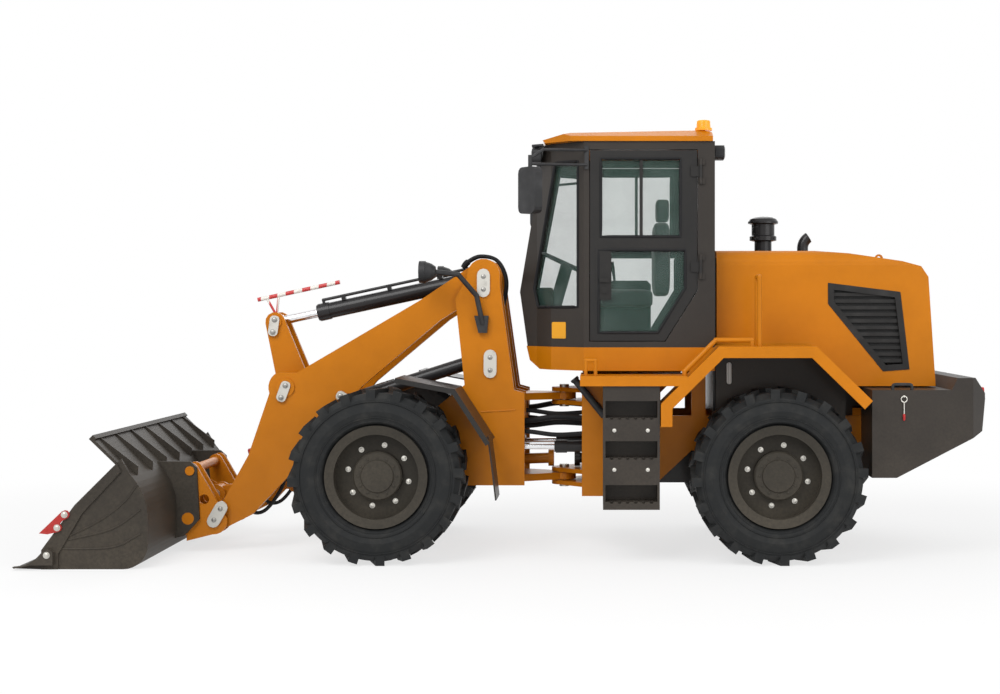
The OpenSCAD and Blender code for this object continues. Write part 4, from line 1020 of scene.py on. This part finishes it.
@dataclass
class Arm:
    """Lock plates, bolts and couplers of the boom, the lever and the hitch; places in millimetres.

    A lock is its pin's X and Z, and its turn in degrees.
    """
    lever_face: float = 119.3
    boom_face: float = 382.3
    lever_locks: Locks = (((2085, 1615), 8.0),)
    boom_locks: Locks = (((1955, 1155), 20.0), ((1500, 1060), 120.0))
    tower_locks: Locks = (((557, 1945), 0.0), ((510, 1378), 0.0))
    hitch_locks: Locks = (((2450, 220), -150.0),)
    lock_size: Point = (150, 72, 30)
    lock_middle: float = 30.0
    lock_t: float = 0.012
    lock_bolts: Flat = (-45, 45)
    lock_bolt_r: float = 0.014
    pin_bolts: Flat = (10.0, 100.0)
    pin_bolt_r: float = 0.012
    coupler_x: float = 2222
    coupler_y: tuple[float, ...] = (90, 150, -110, -170)
    coupler_z: float = 592
    coupler_way: Point = (0.25, 0.0, 1.0)
    coupler: Outline = ((0.02, 0), (0.02, 0.02), (0.014, 0.022), (0.014, 0.04), (0.019, 0.045),
                        (0.019, 0.075))
    cap: Outline = ((0.023, 0), (0.024, 0.03), (0.018, 0.042), (0.001, 0.044))
    cap_foot: float = 0.076

    def build(self) -> None:
        """Plates on the lever and the boom, bolts on the pins' own plates, and the couplers."""
        self.locks("lever", self.lever_face, self.lever_locks)
        self.locks("boom", self.boom_face, self.boom_locks)
        self.bolts("tower_bolts", "front_pins", self.tower_locks, "front")
        self.bolts("hitch_bolts", "hitch_pins", self.hitch_locks, "bucket")
        self.couplers()

    def swing(self, turn: float) -> tuple[np.ndarray, np.ndarray]:
        """The ways along and across a lock that hangs down and is turned about Y by some degrees."""
        a = math.radians(turn)
        return np.array([math.sin(a), 0, -math.cos(a)]), np.array([math.cos(a), 0, math.sin(a)])

    def locks(self, body: str, face: float, locks: Locks) -> None:
        """Rounded bars on both faces of a body, each with two bolts.

        Args:
            body: the body that carries them.
            face: how far from the middle they lie.
            locks: each lock's pin and turn.
        """
        bars, heads = [], []
        for s in SIGNS:
            depth = np.array([0, s * self.lock_t, 0])
            for (x, z), turn in locks:
                way, side = self.swing(turn)
                spot = np.array([x, s * face, z]) + self.lock_middle * way
                bars.append(slab(laid(rounded(*self.lock_size), spot, way, side), depth, 0.003))
                heads += [bolt(at(spot + t * way) + depth, (0, s, 0), self.lock_bolt_r)
                          for t in self.lock_bolts]
        piece(f"{body}_lock_plates", join(bars), body, Slot.STEEL)
        piece(f"{body}_bolts", join(heads), body, Slot.STEEL, Finish.BOLT)

    def bolts(self, name: str, node: str, locks: Locks, body: str) -> None:
        """Two bolts on each of a node's lock plates, on its outermost face.

        Args:
            name: the new piece's name.
            node: the node that holds the plates.
            locks: each plate's pin and turn.
            body: the body that carries them.
        """
        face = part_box(node)[1][1] / MM
        heads = []
        for s in SIGNS:
            for (x, z), turn in locks:
                way, _ = self.swing(turn)
                heads += [bolt(at(np.array([x, s * face, z]) + t * way), (0, s, 0), self.pin_bolt_r)
                          for t in self.pin_bolts]
        piece(name, join(heads), body, Slot.STEEL, Finish.BOLT)

    def couplers(self) -> None:
        """Plated quick couplers with red caps, standing on the boom's front cross tube."""
        feet = [at([self.coupler_x, y, self.coupler_z]) for y in self.coupler_y]
        rise = self.cap_foot * np.array(self.coupler_way) / np.linalg.norm(self.coupler_way)
        stems = [revolve(self.coupler, foot, self.coupler_way) for foot in feet]
        caps = [revolve(self.cap, foot + rise, self.coupler_way) for foot in feet]
        piece("couplers", join(stems), "boom", Slot.STEEL, Finish.BRASS)
        piece("coupler_caps", join(caps), "boom", Slot.RED)


@dataclass
class BucketTrim:
    """Weld rods on the bucket's sides, and bolts of its guards and teeth; places in millimetres."""
    face: float = 1100.0
    rods: tuple[Outline, ...] = (((3263, 197), (3023, 317), (2860, 440), (2772, 557)),
                                 ((3254, 186), (2939, 265), (2751, 390)),
                                 ((3295, 134), (2939, 145), (2751, 233)))
    rod_r: float = 0.006
    studs: Path = ((3242, 1128, 362), (3290, 1128, 276), (3350, 1152, 100))
    stud_r: float = 0.015

    def build(self) -> None:
        """Rods follow smooth curves on the side plate; bolts stand on the guards and teeth."""
        rods, heads = [], []
        for s in SIGNS:
            lines = [smooth(at([[x, s * self.face, z] for x, z in rod]), 10) for rod in self.rods]
            rods += [tube(line, self.rod_r, 8) for line in lines]
            heads += [bolt(at([x, s * y, z]), (0, s, 0), self.stud_r) for x, y, z in self.studs]
        piece("bucket_welds", join(rods), "bucket", Slot.DARK, Finish.WORN)
        piece("bucket_bolts", join(heads), "bucket", Slot.STEEL)


@dataclass
class RearTrim:
    """Small fittings of the rear part and screens behind the hood's grilles; places in millimetres."""
    step_bolts: Outline = ((-355, 901), (-355, 640), (-577, 901), (-577, 640))
    step_face: float = 985.0
    step_bolt_r: float = 0.009
    grip: Outline = ((-2230, 1163), (-2232, 1188), (-2250, 1198), (-2340, 1198), (-2358, 1188),
                     (-2360, 1163))
    grip_y: float = 835.0
    grip_r: float = 0.011
    grille: Outline = ((-1842, 1742), (-1842, 1889), (-2345, 1826), (-2408, 1288), (-2224, 1274))
    screen_share: float = 0.84
    screen_y: float = 488.0
    screen_t: float = 0.006
    filler: Path = ((-78, 452, 1222), (-110, 452, 1182), (-220, 452, 1046), (-290, 452, 958))
    filler_r: Flat = (0.031, 0.025)
    filler_cap: int = 5
    gauge: Point = (-1153, 545.2, 1262)
    gauge_size: Point = (34, 150, 15)
    gauge_t: float = 0.012
    pin: Flat = (-2303, 857)
    pin_ring_z: float = 1100
    pin_ring_r: float = 0.02
    pin_z: tuple[float, ...] = (1080, 1040, 1000)
    pin_eye: Point = (-2303, 850, 1119)
    eye: Outline = ((0.007, 0.0), (0.007, 0.009), (0.003, 0.011))
    knob_z: float = 1002
    knob: Outline = ((0.006, 0.0), (0.009, 0.006), (0.009, 0.04), (0.004, 0.046))

    def build(self) -> None:
        """A pipe, a gauge and a pin on the left, then screens, step bolts and grips on both sides."""
        self.pipe()
        self.safety_pin()
        corners = np.array(self.grille, float)
        flat = corners.mean(0) + (corners - corners.mean(0)) * self.screen_share
        studs, grips, screens = [], [], []
        for s in SIGNS:
            outline = laid(flat, [0, s * self.screen_y, 0], [1, 0, 0])
            screens.append(slab(outline, [0, s * self.screen_t, 0], 0.001))
            studs += [bolt(at([x, s * self.step_face, z]), (0, s, 0), self.step_bolt_r)
                      for x, z in self.step_bolts]
            bar = smooth(at([[x, s * self.grip_y, z] for x, z in self.grip]), 6)
            grips.append(tube(bar, self.grip_r, 10))
        piece("grille_screens", join(screens), "hood", Slot.PLASTIC, Finish.SCREEN, False)
        piece("step_bolts", join(studs), "rear", Slot.STEEL)
        piece("weight_grips", join(grips), "rear", Slot.PLASTIC)

    def pipe(self) -> None:
        """A filler pipe below the cab, wider at its cap, and a sight gauge on the left panel."""
        line = smooth(at(self.filler))
        radius = np.where(np.arange(len(line)) < self.filler_cap, *self.filler_r)
        piece("filler_pipe", tube(line, radius, 18), "rear", Slot.PLASTIC)
        outline = laid(rounded(*self.gauge_size), self.gauge, [1, 0, 0])
        gauge = slab(outline, [0, self.gauge_t, 0], 0.002)
        piece("sight_gauge", gauge, "rear", Slot.STEEL, Finish.GAUGE)

    def safety_pin(self) -> None:
        """A pin that hangs by a ring from an eye on the counterweight, with a red knob at its foot."""
        x, y = self.pin
        ring = tube(at([x, y, self.pin_ring_z]) + self.pin_ring_r * circle(20), 0.004, 8, True)
        stem = tube(at([[x, y, z] for z in self.pin_z]), 0.005, 10)
        eye = revolve(self.eye, at(self.pin_eye), (0, 1, 0), 12)
        piece("safety_pin", join([ring, stem, eye]), "rear", Slot.STEEL)
        knob = revolve(self.knob, at([x, y, self.knob_z]), (0, 0, -1), 12)
        piece("safety_pin_grip", knob, "rear", Slot.RED)


@dataclass
class TowerTrim:
    """Weld beads where the tower's plates meet the front frame; places in millimetres."""
    face: float = 410.0
    seam: Outline = ((575, 985), (455, 992), (336, 999))
    bead_r: float = 0.0055
    swell: float = 0.001
    swell_step: float = 1.6

    def build(self) -> None:
        """Beads are thin tubes whose radius swells and shrinks along the seam, as laid weld does."""
        beads = []
        for s in SIGNS:
            line = smooth(at([[x, s * self.face, z] for x, z in self.seam]), 40)
            waves = np.sin(np.arange(len(line)) * self.swell_step)
            beads.append(tube(line, self.bead_r + self.swell * waves, 8))
        piece("tower_welds", join(beads), "front", Slot.YELLOW)


def main() -> None:
    """Builds the scene's parts in order."""
    logging.basicConfig(level=logging.INFO, format="%(name)s %(message)s")
    for part in (Studio, Coats, Wheels, Hoses, Cab, Arm, BucketTrim, RearTrim, TowerTrim):
        part().build()
        LOG.info("%s done", part.__name__)


if __name__ == "__main__":
    main()
